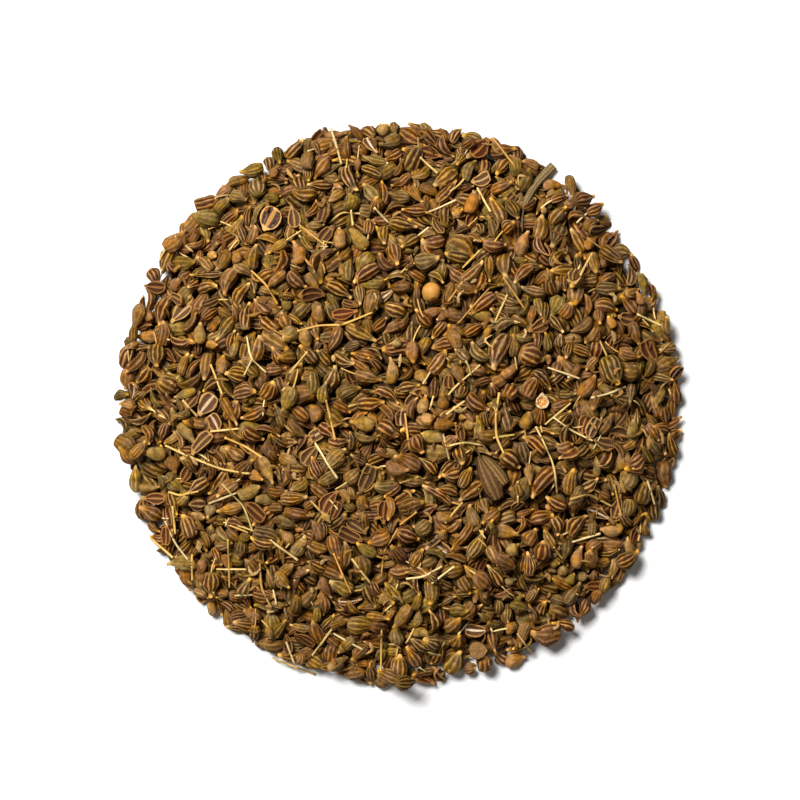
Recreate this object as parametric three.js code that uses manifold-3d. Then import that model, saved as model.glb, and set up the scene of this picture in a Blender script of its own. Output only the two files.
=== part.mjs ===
// A round, shallow heap of dried anise fruits, the spice sold as anise seed, lying loose on a table,
// with the dry stalks that come with it. Units are millimetres, +Z is up, the flat underside is z = 0.
import * as THREE from "three";
import { mergeVertices } from "three/addons/utils/BufferGeometryUtils.js";
import Module from "manifold-3d";

// Driving dimensions of the heap
const HEAP_RADIUS = 49.6; // of the bed of fruits, inside the tips that stick out of it
const HEAP_HEIGHT = 12; // of the bed in the middle
const SLOPE_POWER = 3.2; // a higher power gives a flatter top and a steeper rim
const UNEVEN = 0.012; // how far the bed strays from a true round, as a share of its size

// The fruits of the bed: each is a bump over two neighbouring points of a round grid
const BED_RINGS = 36;
const POINT_STRAY = 0.32; // how far a grid point lies off its place
const BUMP_HEIGHT = [0.55, 1.15]; // of a fruit's back over the bed's mean surface
const HOLLOW_DEPTH = 0.5; // of the gaps between the fruits
const LEAST_THICKNESS = 0.3; // of the bed just inside its rim

// The fruits that lie on the bed with their whole shape showing
const TOP_FRUITS = 38;
const FRUIT_LENGTH = [4.2, 5.6];
const FRUIT_WIDTH = [0.44, 0.56]; // share of the length
const FRUIT_HEIGHT = 0.85; // share of the width
const FRUIT_SIDES = 5;
const FRUIT_LEAN = 0.3; // most that a fruit leans out of the bed's surface, radians
const FRUIT_STRAY = 1; // most that a fruit lies off its even place
const OUTERMOST_FRUIT = 0.965; // how far out the last fruits' middles lie, share of the heap's radius
const TABLE_CLEARANCE = 0.06; // under the fruits on the rim, so that the underside stays one flat face

// The single larger things on the bed: place, length, width, height and the way they point, in degrees
const HUSK = { x: 15.6, y: -11.9, length: 10.2, width: 3.8, height: 2.2, turn: -58 };
const TWIG = { x: 24.3, y: 38.2, length: 10.6, width: 1.5, height: 1.1, turn: 54 };
const ROUND_SEED = { x: 5.4, y: 19.2, length: 3.4, width: 3.4, height: 3.2, turn: 0 };
const FLAT_HALF = { x: -22.5, y: 32.1, length: 4, width: 3.9, height: 2, turn: 90 };
const CUT_STEM = { x: 24.5, y: 0.4, length: 2.8, width: 2.8, height: 1.8, turn: 0 };

// The longest of the stalks: the two ends and how far the middle bows out to the left of the way between
const STALK_THICKNESS = 0.42;
const STALK_LIFT = 0.55; // of a stalk's middle line over the bed's mean surface
const STALKS = [
  { from: [-40.9, -7.3], to: [-25.9, -12.1], bow: -0.6 },
  { from: [23.6, -4], to: [27.3, -15.5], bow: 1.2 },
  { from: [-17.4, 12.4], to: [-4.7, 15.6], bow: -1.3 },
  { from: [15.5, 19.9], to: [10, 13.7], bow: 0.3 },
  { from: [-26.3, 11.4], to: [-23, 5.4], bow: 0.8 },
  { from: [-29.7, -23.6], to: [-29.7, -32.2], bow: 0.2 },
  { from: [1.2, -30.3], to: [7.3, -28.2], bow: -0.6 },
  { from: [-11.3, -25.9], to: [-8.3, -32.8], bow: 0.2 },
  { from: [30, -16.5], to: [37, -17.9], bow: 0.5 },
  { from: [17.2, 1.7], to: [17.9, -8.6], bow: -0.7 },
];

const RANDOM_SEED = 11;

const wasm = await Module();
wasm.setup();

// The same draws on every run, each from 0 to 1
function makeRandom(seed) {
  let state = seed;
  return () => {
    state = (state + 0x6d2b79f5) | 0;
    let mixed = Math.imul(state ^ (state >>> 15), 1 | state);
    mixed = (mixed + Math.imul(mixed ^ (mixed >>> 7), 61 | mixed)) ^ mixed;
    return ((mixed ^ (mixed >>> 14)) >>> 0) / 4294967296;
  };
}

const random = makeRandom(RANDOM_SEED);
const between = (low, high) => low + (high - low) * random();

// A closed solid from a geometry: shared points merged, triangles that closed up left out
function solidOf(geometry) {
  const bare = geometry.clone();
  bare.deleteAttribute("normal");
  bare.deleteAttribute("uv");
  const merged = mergeVertices(bare, 1e-4);
  const corners = merged.index.array;
  const kept = [];
  for (let i = 0; i < corners.length; i += 3) {
    const [a, b, c] = corners.slice(i, i + 3);
    if (a !== b && b !== c && c !== a) {
      kept.push(a, b, c);
    }
  }
  return new wasm.Manifold(new wasm.Mesh({
    numProp: 3,
    vertProperties: new Float32Array(merged.attributes.position.array),
    triVerts: new Uint32Array(kept),
  }));
}

// Back from a joined solid to a geometry
function geometryOf(solid) {
  const mesh = solid.getMesh();
  const geometry = new THREE.BufferGeometry();
  geometry.setAttribute("position", new THREE.BufferAttribute(mesh.vertProperties, 3));
  geometry.setIndex(new THREE.BufferAttribute(mesh.triVerts, 1));
  return geometry;
}

// How much wider or narrower the bed is in a direction than a true round
function unevenness(angle) {
  const slow = 0.5 * Math.sin(3 * angle + 0.7) + 0.3 * Math.sin(5 * angle + 2.1);
  const quick = 0.4 * Math.sin(11 * angle);
  return UNEVEN * (slow + quick);
}

// Height of the bed's mean surface over the table
function bedHeight(x, y) {
  const reach = Math.hypot(x, y) / (HEAP_RADIUS * (1 + unevenness(Math.atan2(y, x))));
  const swell = 0.35 * Math.sin(x / 7.3 + 1) * Math.sin(y / 8.9 + 2) + 0.25 * Math.sin(x / 3.7 + y / 4.9);
  return (HEAP_HEIGHT + swell) * (1 - Math.min(1, reach) ** SLOPE_POWER);
}

// The direction square to the bed's mean surface
function bedNormal(x, y) {
  const step = 0.8;
  const alongX = (bedHeight(x + step, y) - bedHeight(x - step, y)) / (2 * step);
  const alongY = (bedHeight(x, y + step) - bedHeight(x, y - step)) / (2 * step);
  return new THREE.Vector3(-alongX, -alongY, 1).normalize();
}

// A flat round grid of radius 1: rings of 6, 12, 18 ... points round one in the middle, and its triangles
function roundGrid(rings) {
  const points = [[0, 0]];
  const triangles = [];
  for (let ring = 1; ring <= rings; ring += 1) {
    const firstOuter = points.length;
    const firstInner = ring === 1 ? 0 : firstOuter - 6 * (ring - 1);
    const outer = (i) => firstOuter + (i % (6 * ring));
    const inner = (i) => firstInner + (ring === 1 ? 0 : i % (6 * (ring - 1)));
    for (let i = 0; i < 6 * ring; i += 1) {
      const angle = (Math.PI * (i + ring / 2)) / (3 * ring);
      points.push([(ring / rings) * Math.cos(angle), (ring / rings) * Math.sin(angle)]);
    }
    for (let sector = 0; sector < 6; sector += 1) {
      for (let step = 0; step < ring; step += 1) {
        const i = sector * ring + step;
        const j = sector * (ring - 1) + step;
        triangles.push([outer(i), outer(i + 1), inner(j)]);
        if (step > 0) {
          triangles.push([inner(j), inner(j - 1), outer(i)]);
        }
      }
    }
  }
  return { points, triangles };
}

// Which grid points touch which
function neighboursOf(count, triangles) {
  const neighbours = Array.from({ length: count }, () => new Set());
  for (const triangle of triangles) {
    for (const point of triangle) {
      triangle.filter((other) => other !== point).forEach((other) => neighbours[point].add(other));
    }
  }
  return neighbours.map((near) => [...near]);
}

function shuffled(count) {
  const order = Array.from({ length: count }, (_, i) => i);
  for (let i = count - 1; i > 0; i -= 1) {
    const other = Math.floor(random() * (i + 1));
    [order[i], order[other]] = [order[other], order[i]];
  }
  return order;
}

// How high each fruit of the bed stands: pairs of touching points, each pair clear of all the others
function pickBumps(count, neighbours) {
  const bumps = new Map();
  const isFree = (point) => point < count && ![point, ...neighbours[point]].some((near) => bumps.has(near));
  for (const blunt of shuffled(count)) {
    const ends = isFree(blunt) ? neighbours[blunt].filter(isFree) : [];
    if (ends.length > 0) {
      const narrow = ends[Math.floor(random() * ends.length)];
      const height = between(...BUMP_HEIGHT);
      bumps.set(blunt, height);
      bumps.set(narrow, height * between(0.6, 1));
    }
  }
  return bumps;
}

// The bed: a closed mound with a flat underside, covered with bumps of a fruit's size
function makeBed() {
  const { points, triangles } = roundGrid(BED_RINGS);
  const firstOnRim = points.length - 6 * BED_RINGS;
  const bumps = pickBumps(firstOnRim, neighboursOf(points.length, triangles));
  const positions = points.map(([u, v], i) => {
    const radius = HEAP_RADIUS * (1 + unevenness(Math.atan2(v, u)));
    const x = u * radius + between(-POINT_STRAY, POINT_STRAY);
    const y = v * radius + between(-POINT_STRAY, POINT_STRAY);
    const height = bedHeight(x, y) + (bumps.get(i) ?? -HOLLOW_DEPTH);
    return [x, y, i < firstOnRim ? Math.max(LEAST_THICKNESS, height) : 0];
  });
  const underside = positions.length;
  positions.push([0, 0, 0]);
  for (let i = firstOnRim; i < underside; i += 1) {
    const next = i + 1 < underside ? i + 1 : firstOnRim;
    triangles.push([next, i, underside]);
  }
  const mound = new THREE.BufferGeometry();
  mound.setAttribute("position", new THREE.Float32BufferAttribute(positions.flat(), 3));
  mound.setIndex(triangles.flat());
  return solidOf(mound);
}

// A body of revolution of size 1 along X, blunt at -X and narrow at +X, from its half widths
function pearGeometry(halfWidths, sides) {
  const profile = [new THREE.Vector2(0, -0.5)];
  halfWidths.forEach((half, i) => {
    profile.push(new THREE.Vector2(half, (i + 1) / (halfWidths.length + 1) - 0.5));
  });
  profile.push(new THREE.Vector2(0, 0.5));
  const pear = new THREE.LatheGeometry(profile, sides, between(0, Math.PI));
  return pear.rotateZ(-Math.PI / 2);
}

// Lays a shape on the bed, pointing along turn and leaned by lean, its middle lifted over the surface
function layOnBed(geometry, { x, y, turn, lean = 0, lift }) {
  const up = new THREE.Vector3(0, 0, 1);
  const normal = bedNormal(x, y);
  const attitude = new THREE.Quaternion().setFromUnitVectors(up, normal);
  attitude.multiply(new THREE.Quaternion().setFromAxisAngle(up, turn));
  attitude.multiply(new THREE.Quaternion().setFromAxisAngle(new THREE.Vector3(0, 1, 0), lean));
  geometry.applyQuaternion(attitude);
  geometry.translate(x + normal.x * lift, y + normal.y * lift, bedHeight(x, y) + normal.z * lift);
  geometry.computeBoundingBox();
  geometry.translate(0, 0, Math.max(0, TABLE_CLEARANCE - geometry.boundingBox.min.z));
  return solidOf(geometry);
}

// Whole fruits, spread evenly over the bed by the golden angle, each a little off its place
function makeTopFruits() {
  const goldenAngle = Math.PI * (3 - Math.sqrt(5));
  return Array.from({ length: TOP_FRUITS }, (_, i) => {
    const reach = OUTERMOST_FRUIT * HEAP_RADIUS * Math.sqrt((i + 0.5) / TOP_FRUITS);
    const length = between(...FRUIT_LENGTH);
    const width = length * between(...FRUIT_WIDTH);
    const fruit = pearGeometry([0.43, 0.42], FRUIT_SIDES).scale(length, width, FRUIT_HEIGHT * width);
    return layOnBed(fruit, {
      x: reach * Math.cos(i * goldenAngle) + between(-FRUIT_STRAY, FRUIT_STRAY),
      y: reach * Math.sin(i * goldenAngle) + between(-FRUIT_STRAY, FRUIT_STRAY),
      turn: between(0, 2 * Math.PI),
      lean: between(-FRUIT_LEAN, FRUIT_LEAN),
      lift: 0.05 * width,
    });
  });
}

// The husk, the twig, the round seed, the half fruit with its flat face up and the end of a cut stem
function makeLargerPieces() {
  const shapes = [
    [HUSK, pearGeometry([0.34, 0.5, 0.4], 5)],
    [TWIG, new THREE.BoxGeometry(1, 1, 1)],
    [ROUND_SEED, new THREE.IcosahedronGeometry(0.5, 1)],
    [FLAT_HALF, new THREE.CylinderGeometry(0.5, 0.36, 1, 10).rotateX(Math.PI / 2)],
    [CUT_STEM, new THREE.CylinderGeometry(0.5, 0.5, 1, 8).rotateX(Math.PI / 2)],
  ];
  return shapes.map(([piece, shape]) => layOnBed(shape.scale(piece.length, piece.width, piece.height), {
    x: piece.x,
    y: piece.y,
    turn: THREE.MathUtils.degToRad(piece.turn),
    lift: 0.25 * piece.height,
  }));
}

// One stalk: a thin three-sided rod that follows the bed's surface in a shallow bow
function makeStalk({ from, to, bow }) {
  const [start, end] = [from, to].map(([x, y]) => new THREE.Vector2(x, y));
  const way = end.clone().sub(start);
  const side = new THREE.Vector2(-way.y, way.x).normalize();
  const line = [0, 0.35, 0.7, 1].map((share) => {
    const offset = 4 * bow * share * (1 - share);
    const { x, y } = start.clone().addScaledVector(way, share).addScaledVector(side, offset);
    return new THREE.Vector3(x, y, bedHeight(x, y) + STALK_LIFT);
  });
  const half = STALK_THICKNESS / 2;
  const section = new THREE.Shape([
    new THREE.Vector2(-half, -half),
    new THREE.Vector2(half, -half),
    new THREE.Vector2(0, half),
  ]);
  const extrudePath = new THREE.CatmullRomCurve3(line);
  return solidOf(new THREE.ExtrudeGeometry(section, { steps: 4, extrudePath }));
}

let heap = makeBed();
for (const piece of [...makeLargerPieces(), ...STALKS.map(makeStalk), ...makeTopFruits()]) {
  heap = heap.add(piece);
}

const heapGeometry = geometryOf(heap);
heapGeometry.computeBoundingBox();
const middle = heapGeometry.boundingBox.getCenter(new THREE.Vector3());
heapGeometry.translate(-middle.x, -middle.y, 0);

const driedFruit = new THREE.MeshStandardMaterial({ color: 0x7a5832, roughness: 0.8, metalness: 0 });
const heapMesh = new THREE.Mesh(heapGeometry, driedFruit);
heapMesh.name = "anise_heap";

const part = new THREE.Group();
part.add(heapMesh);

export default part;
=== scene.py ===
import math

import bpy
import numpy as np
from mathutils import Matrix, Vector


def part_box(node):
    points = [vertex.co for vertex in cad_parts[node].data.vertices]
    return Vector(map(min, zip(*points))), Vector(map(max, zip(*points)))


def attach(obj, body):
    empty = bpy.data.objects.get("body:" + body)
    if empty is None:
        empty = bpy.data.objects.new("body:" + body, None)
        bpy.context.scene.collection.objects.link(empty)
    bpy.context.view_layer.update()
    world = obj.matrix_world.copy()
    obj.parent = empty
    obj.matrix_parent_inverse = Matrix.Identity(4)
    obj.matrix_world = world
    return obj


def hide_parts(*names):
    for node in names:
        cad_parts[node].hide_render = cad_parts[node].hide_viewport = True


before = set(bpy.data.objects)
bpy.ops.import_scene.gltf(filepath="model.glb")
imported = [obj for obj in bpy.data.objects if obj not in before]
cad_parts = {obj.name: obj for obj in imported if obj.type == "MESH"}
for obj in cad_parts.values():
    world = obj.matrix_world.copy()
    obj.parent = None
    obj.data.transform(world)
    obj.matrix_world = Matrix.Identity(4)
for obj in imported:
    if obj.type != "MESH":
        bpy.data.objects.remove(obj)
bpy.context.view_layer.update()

# ----------------------------------------------------------
# The ground of the heap: the fruits that lie too deep to be told apart, seen only as dark lumps
# at the bottom of the gaps. A low dome a few millimetres under the surface, on a flat underside.
# Its near-black colour is painted shade, the shade at the bottom of the gaps.
# ----------------------------------------------------------
MM = 0.001
heap_low, heap_high = [np.array(corner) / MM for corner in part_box("anise_heap")]
HEAP_RADIUS = (heap_high[0] - heap_low[0]) / 2
FRUITS_STAND_OUT = 1.5  # of the solid's highest fruit over the mean surface
HEAP_HEIGHT = heap_high[2] - FRUITS_STAND_OUT
SLOPE_POWER = 3.2  # a higher power gives a flatter top and a steeper rim
GROUND_DEPTH = 3.4  # under the mean surface
GROUND_LEAST = 0.15  # its height where it is thinnest
GROUND_FROM_RIM = 4.0
GROUND_RADIUS = HEAP_RADIUS - GROUND_FROM_RIM
GROUND_SIDES = 120
GROUND_RINGS = 34
RANDOM_SEED = 20

draw = np.random.default_rng(RANDOM_SEED)


def surface_height(x, y):
    """Height of the heap's mean surface, in millimetres."""
    reach = np.hypot(x, y) / HEAP_RADIUS
    swell = 0.35 * np.sin(x / 7.3 + 1) * np.sin(y / 8.9 + 2) + 0.25 * np.sin(x / 3.7 + y / 4.9)
    return (HEAP_HEIGHT + swell) * (1 - np.minimum(1, reach) ** SLOPE_POWER)


def ground_height(x, y):
    """Height of the ground, with lumps of a fruit's size."""
    lumps = 0.35 * np.sin(1.9 * x + 0.6 * y) * np.sin(2.1 * y - 0.5 * x)
    return np.maximum(GROUND_LEAST, surface_height(x, y) - GROUND_DEPTH + lumps)


def make_mesh(name, points, triangles, layers=None, tints=None):
    """A new object from arrays in millimetres, with uv layers and a tint for each point."""
    mesh = bpy.data.meshes.new(name)
    mesh.vertices.add(len(points))
    mesh.vertices.foreach_set("co", (np.asarray(points) * MM).astype(np.float32).ravel())
    mesh.loops.add(3 * len(triangles))
    mesh.loops.foreach_set("vertex_index", np.asarray(triangles, np.int32).ravel())
    mesh.polygons.add(len(triangles))
    mesh.polygons.foreach_set("loop_start", np.arange(0, 3 * len(triangles), 3, dtype=np.int32))
    mesh.update(calc_edges=True)
    for layer, corners in (layers or {}).items():
        mesh.uv_layers.new(name=layer).uv.foreach_set("vector", corners.astype(np.float32).ravel())
    if tints is not None:
        tint = mesh.attributes.new("Tint", "FLOAT_COLOR", "POINT")
        tint.data.foreach_set("color", tints.astype(np.float32).ravel())
    mesh.shade_smooth()
    thing = bpy.data.objects.new(name, mesh)
    bpy.context.scene.collection.objects.link(thing)
    return thing


class Wire:
    """One output of a material's nodes, on which plain sums add Math nodes."""

    def __init__(self, recipe, socket):
        self.recipe = recipe
        self.socket = socket

    def math(self, operation, first, second=0.0):
        return self.recipe.add("ShaderNodeMath", {"operation": operation}, {0: first, 1: second})

    def __add__(self, other):
        return self.math("ADD", self, other)

    def __radd__(self, other):
        return self.math("ADD", other, self)

    def __sub__(self, other):
        return self.math("SUBTRACT", self, other)

    def __mul__(self, other):
        return self.math("MULTIPLY", self, other)

    def __rmul__(self, other):
        return self.math("MULTIPLY", other, self)

    def __pow__(self, other):
        return self.math("POWER", self, other)

    def __abs__(self):
        return self.math("ABSOLUTE", self)

    def cosine(self):
        return self.math("COSINE", self)


class Recipe:
    """A material and the one way to add a node to it."""

    def __init__(self, name):
        self.material = bpy.data.materials.new(name)
        self.material.use_nodes = True
        self.tree = self.material.node_tree
        self.tree.nodes.clear()

    @staticmethod
    def find(sockets, key):
        if isinstance(key, int):
            return sockets[key]
        return next(s for s in sockets if key in (s.identifier, s.name))

    def add(self, kind, settings=None, values=None, out=0):
        node = self.tree.nodes.new(kind)
        for key, value in (settings or {}).items():
            setattr(node, key, value)
        for key, value in (values or {}).items():
            socket = self.find(node.inputs, key)
            if isinstance(value, Wire):
                self.tree.links.new(value.socket, socket)
            else:
                socket.default_value = value
        return Wire(self, self.find(node.outputs, out)) if node.outputs else node

    def mix(self, factor, first, second):
        return self.add(
            "ShaderNodeMix", {"data_type": "RGBA"},
            {"Factor_Float": factor, "A_Color": first, "B_Color": second}, out="Result_Color",
        )

    def scale_colour(self, colour, factor):
        return self.add("ShaderNodeVectorMath", {"operation": "SCALE"}, {0: colour, "Scale": factor})

    def ramp(self, value, low, high, start=0.0, end=1.0):
        """A smooth step from start to end while value goes from low to high."""
        return self.add(
            "ShaderNodeMapRange", {"interpolation_type": "SMOOTHSTEP"},
            {"Value": value, "From Min": low, "From Max": high, "To Min": start, "To Max": end},
        )

    def scale_of_colours(self, value, stops):
        """A colour between the stops, which are (place, colour), by a value from 0 to 1."""
        wire = self.add("ShaderNodeValToRGB", None, {"Fac": value})
        elements = wire.socket.node.color_ramp.elements
        while len(elements) < len(stops):
            elements.new(1)
        for element, (place, colour) in zip(elements, stops):
            element.position = place
            element.color = colour
        return wire

    def noise(self, grains, detail=2.0, roughness=0.5):
        """Noise with so many grains a millimetre, fixed to the piece."""
        place = self.add("ShaderNodeTexCoord", out="Object")
        place = self.add("ShaderNodeMapping", None, {"Vector": place, "Scale": [grains / MM] * 3})
        return self.add("ShaderNodeTexNoise", None,
                        {"Vector": place, "Scale": 1.0, "Detail": detail, "Roughness": roughness})

    def marks(self):
        """Where on its own skin a point is: round the piece, and along it from 0 to 1."""
        place = self.add("ShaderNodeUVMap", {"uv_map": "Marks"})
        return [self.add("ShaderNodeSeparateXYZ", None, {"Vector": place}, out=axis) for axis in "XY"]

    def tints(self):
        """The three values from 0 to 1 that each fruit has for itself: tone, hue and wear."""
        tint = self.add("ShaderNodeAttribute", {"attribute_name": "Tint"}, out="Color")
        return [self.add("ShaderNodeSeparateColor", None, {"Color": tint}, out=part)
                for part in ("Red", "Green", "Blue")]

    def finish(self, colour, roughness, height=None, depth=0.0, specular=0.07):
        """The dry matt surface itself; depth is how deep the relief is, in millimetres."""
        values = {"Base Color": colour, "Roughness": roughness, "Specular IOR Level": specular}
        if height is not None:
            values["Normal"] = self.add("ShaderNodeBump", None, {"Height": height, "Distance": depth * MM})
        surface = self.add("ShaderNodeBsdfPrincipled", None, values)
        self.add("ShaderNodeOutputMaterial", None, {"Surface": surface})
        return self.material


def shade(red, green, blue):
    """A colour as read from a screen, 0 to 255, as the linear light that the shader takes."""
    parts = [part / 255 for part in (red, green, blue)]
    return [p / 12.92 if p < 0.04045 else ((p + 0.055) / 1.055) ** 2.4 for p in parts] + [1]


def put_in_heap(piece, material):
    """Gives a piece its material and makes it a part of the heap."""
    piece.data.materials.append(material)
    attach(piece, "root")
    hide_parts("anise_heap")


def tube(count, sides):
    """Triangles and marks of a skin over so many rings, with one more point closing each end."""
    first, final, tail, last = count * sides, count * sides + 1, (count - 1) * sides, count - 1
    triangles, marks = [], []
    for side in range(sides):
        after = (side + 1) % sides
        for ring in range(last):
            a, b = ring * sides + side, ring * sides + after
            triangles += [[a, a + sides, b], [b, a + sides, b + sides]]
            marks += [[(side, ring), (side, ring + 1), (side + 1, ring)],
                      [(side + 1, ring), (side, ring + 1), (side + 1, ring + 1)]]
        triangles += [[first, side, after], [final, tail + after, tail + side]]
        marks += [[(side, 0), (side, 0), (side + 1, 0)], [(side, last), (side, last), (side + 1, last)]]
    return np.array(triangles), np.array(marks, float) / [sides, last]


def make_ground():
    """A closed dome of rings, whose outermost ring goes straight down to the floor."""
    reach = GROUND_RADIUS * np.sqrt(np.arange(1, GROUND_RINGS + 1) / GROUND_RINGS)
    turn = np.arange(GROUND_SIDES) * 2 * math.pi / GROUND_SIDES
    x, y = np.outer(reach, np.cos(turn)), np.outer(reach, np.sin(turn))
    top = np.stack([x, y, ground_height(x, y)], -1).reshape(-1, 3)
    foot = top[-GROUND_SIDES:] * [1, 1, 0]
    points = np.concatenate([top, foot, [[0, 0, ground_height(0.0, 0.0)], [0, 0, 0]]])
    triangles, _ = tube(GROUND_RINGS + 1, GROUND_SIDES)
    return make_mesh("deep_fruits", points, triangles)


recipe = Recipe("deep fruits in shade")
grains = recipe.noise(0.9, 3)
# near-black browns: painted shade at the bottom of the gaps
deep_shade_colour = recipe.mix(grains, shade(14, 8, 4), shade(38, 23, 12))
put_in_heap(make_ground(), recipe.finish(deep_shade_colour, 0.9, grains, 0.4))

# ----------------------------------------------------------
# How the fruits lie: each is dropped where the heap is still lowest, turned until it sinks
# deepest, and leans as the fruits under it let it. Nothing holds them but their weight. These
# are the lower ones, which the rest hides but for what shows in the gaps.
# ----------------------------------------------------------
LOWER_FRUITS = 1640
CELL = 0.2  # of the map of heights on which the fruits are laid
SPAN = HEAP_RADIUS + 4  # of the map, to each side
RIM_HEIGHT = 2.4  # least height that the fruits aim at, up to the rim
RIM_STEP = 1.0  # how far inside the rim that ends, and the mean surface alone counts
TRIES = 4  # places tried for a fruit, and below the turns tried at each
TURNS = 7
BITE = 0.30  # how far a fruit sinks between those under it
FLOOR_GAP = 0.02  # least height of anything over the floor
WOBBLE = 0.2  # of a fruit's lean and roll, in radians
MOST_LEAN, MOST_ROLL = 0.9, 0.8
LEAN_COST, OVERHANG_COST, HIDING_COST = 0.4, 6, 20  # in millimetres of height
KEPT_HEIGHT = 9  # how much higher a kept place counts when the lowest is looked for
FRUIT_LENGTH = (4.0, 0.6)  # middle and spread
LEAST_LENGTH, MOST_LENGTH = 3.0, 5.6
BIT_LENGTH = (0.3, 0.6)  # of a broken bit, as a share of a fruit's length
LOOK_INSET, LAY_INSET = 0.8, 1.3  # how far inside the rim places are looked for and taken
# How common each kind is, its width as a share of its length, and its height of its width
KINDS = {"whole": 0.18, "half": 0.44, "face": 0.06, "edge": 0.14, "smooth": 0.09, "bit": 0.09}
SHARES = {"whole": (0.50, 0.74), "half": (0.40, 0.58), "face": (0.44, 0.60), "edge": (0.28, 0.39),
          "smooth": (0.38, 0.60), "bit": (0.5, 0.9)}
THICKNESSES = {"whole": (0.75, 0.95), "half": (0.5, 0.65), "face": (0.42, 0.52), "edge": (1.1, 1.35),
               "smooth": (0.68, 0.9), "bit": (0.7, 0.95)}

steps = np.arange(-SPAN, SPAN, CELL)
grid_x, grid_y = np.meshgrid(steps, steps)
grid_reach = np.hypot(grid_x, grid_y)
pile = np.where(grid_reach < GROUND_RADIUS, ground_height(grid_x, grid_y), 0.0)
rim_aim = np.where(grid_reach < HEAP_RADIUS - RIM_STEP, RIM_HEIGHT, 0)
aim = np.maximum(surface_height(grid_x, grid_y), rim_aim)
owner = np.full(pile.shape, -1)
kept = np.zeros(pile.shape)
fruits = []


def at_cell(value):
    """The map's row or column for a place in millimetres."""
    return np.clip(np.rint((np.asarray(value) + SPAN) / CELL).astype(int), 2, len(steps) - 3)


def mean_height(x, y):
    """Height of the pile round each place, a little smoothed."""
    column, row = at_cell(x), at_cell(y)
    near = [pile[row + i, column + j] for i, j in ((0, 0), (2, 0), (-2, 0), (0, 2), (0, -2))]
    return np.mean(near, 0)


def attitudes(turn, lean, roll):
    """Turning matrices whose columns are a fruit's length, its side and its back."""
    ahead = np.stack([np.cos(turn) * np.cos(lean), np.sin(turn) * np.cos(lean), np.sin(lean)], -1)
    level = np.stack([-np.sin(turn), np.cos(turn), 0 * turn], -1)
    upward = np.cross(ahead, level)
    c, s = np.cos(roll)[:, None], np.sin(roll)[:, None]
    return np.stack([ahead, c * level + s * upward, c * upward - s * level], -1)


def shells(half_sizes, turning, window):
    """Lower and upper surface of a rounded body over a window of the grid, from its middle."""
    shape = turning @ np.diag(1 / half_sizes ** 2) @ turning.transpose(0, 2, 1)
    offset = np.arange(-window, window + 1) * CELL
    dx, dy = np.meshgrid(offset, offset)
    xx, yy, zz, xy, xz, yz = [shape[:, i, j][:, None, None] for i, j in
                              ((0, 0), (1, 1), (2, 2), (0, 1), (0, 2), (1, 2))]
    lead = xz * dx + yz * dy
    inside = lead ** 2 - zz * (xx * dx ** 2 + 2 * xy * dx * dy + yy * dy ** 2 - 1)
    root = np.sqrt(np.maximum(inside, 0))
    return (-lead - root) / zz, (-lead + root) / zz, inside > 0


def settle(kind, x, y, size, turn, wobble=WOBBLE):
    """Of the turns given, the one in which a body lies lowest at a place, with its lean."""
    length, width, height = size
    cos, sin = np.cos(turn), np.sin(turn)
    fore, side = 0.32 * length, 0.3 * width
    rise = mean_height(x + fore * cos, y + fore * sin) - mean_height(x - fore * cos, y - fore * sin)
    bank = mean_height(x - side * sin, y + side * cos) - mean_height(x + side * sin, y - side * cos)
    lean = np.arctan2(rise, 2 * fore) * 0.9 + wobble * draw.normal(size=len(turn))
    roll = np.arctan2(bank, 2 * side) * 0.7 + wobble * draw.normal(size=len(turn))
    lean, roll = np.clip(lean, -MOST_LEAN, MOST_LEAN), np.clip(roll, -MOST_ROLL, MOST_ROLL)
    turning = attitudes(turn, lean, roll)
    window = int(0.5 * max(size) / CELL) + 1
    row, column = at_cell(y), at_cell(x)
    patch = (slice(row - window, row + window + 1), slice(column - window, column + window + 1))
    low, high, inside = shells(np.array(size) / 2, turning, window)
    contact = np.where(inside, pile[patch] - low, -99).max((1, 2)) - BITE
    floor = -np.where(inside, low, 0).min((1, 2))
    rest = np.maximum(contact, floor + FLOOR_GAP)
    reach = np.hypot(x, y)
    tips = reach + 0.5 * length * np.abs(cos * x + sin * y) / max(1.0, reach) * np.cos(lean)
    hides = (inside * kept[patch]).sum((1, 2)) / inside.sum((1, 2))
    score = rest - aim[row, column] + LEAN_COST * np.abs(lean)
    score = score + OVERHANG_COST * np.maximum(0, tips - HEAP_RADIUS) + HIDING_COST * hides
    best = int(np.argmin(score))
    return {"kind": kind, "score": score[best], "patch": patch, "place": (x, y, rest[best]),
            "size": size, "turning": turning[best], "cells": inside[best].sum(), "inside": inside[best],
            "top": np.where(inside[best], rest[best] + high[best], -1)}


def lay(body, keep=0.0):
    """Raises the pile by a body that has settled. Keep is how strongly others leave it in sight."""
    patch = body["patch"]
    raised = body["top"] > pile[patch]
    pile[patch] = np.where(raised, body["top"], pile[patch])
    owner[patch][raised] = len(fruits) if "tint" in body else -2
    kept[patch] = np.maximum(kept[patch], keep * body["inside"])
    if "tint" in body:
        fruits.append(body)


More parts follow.
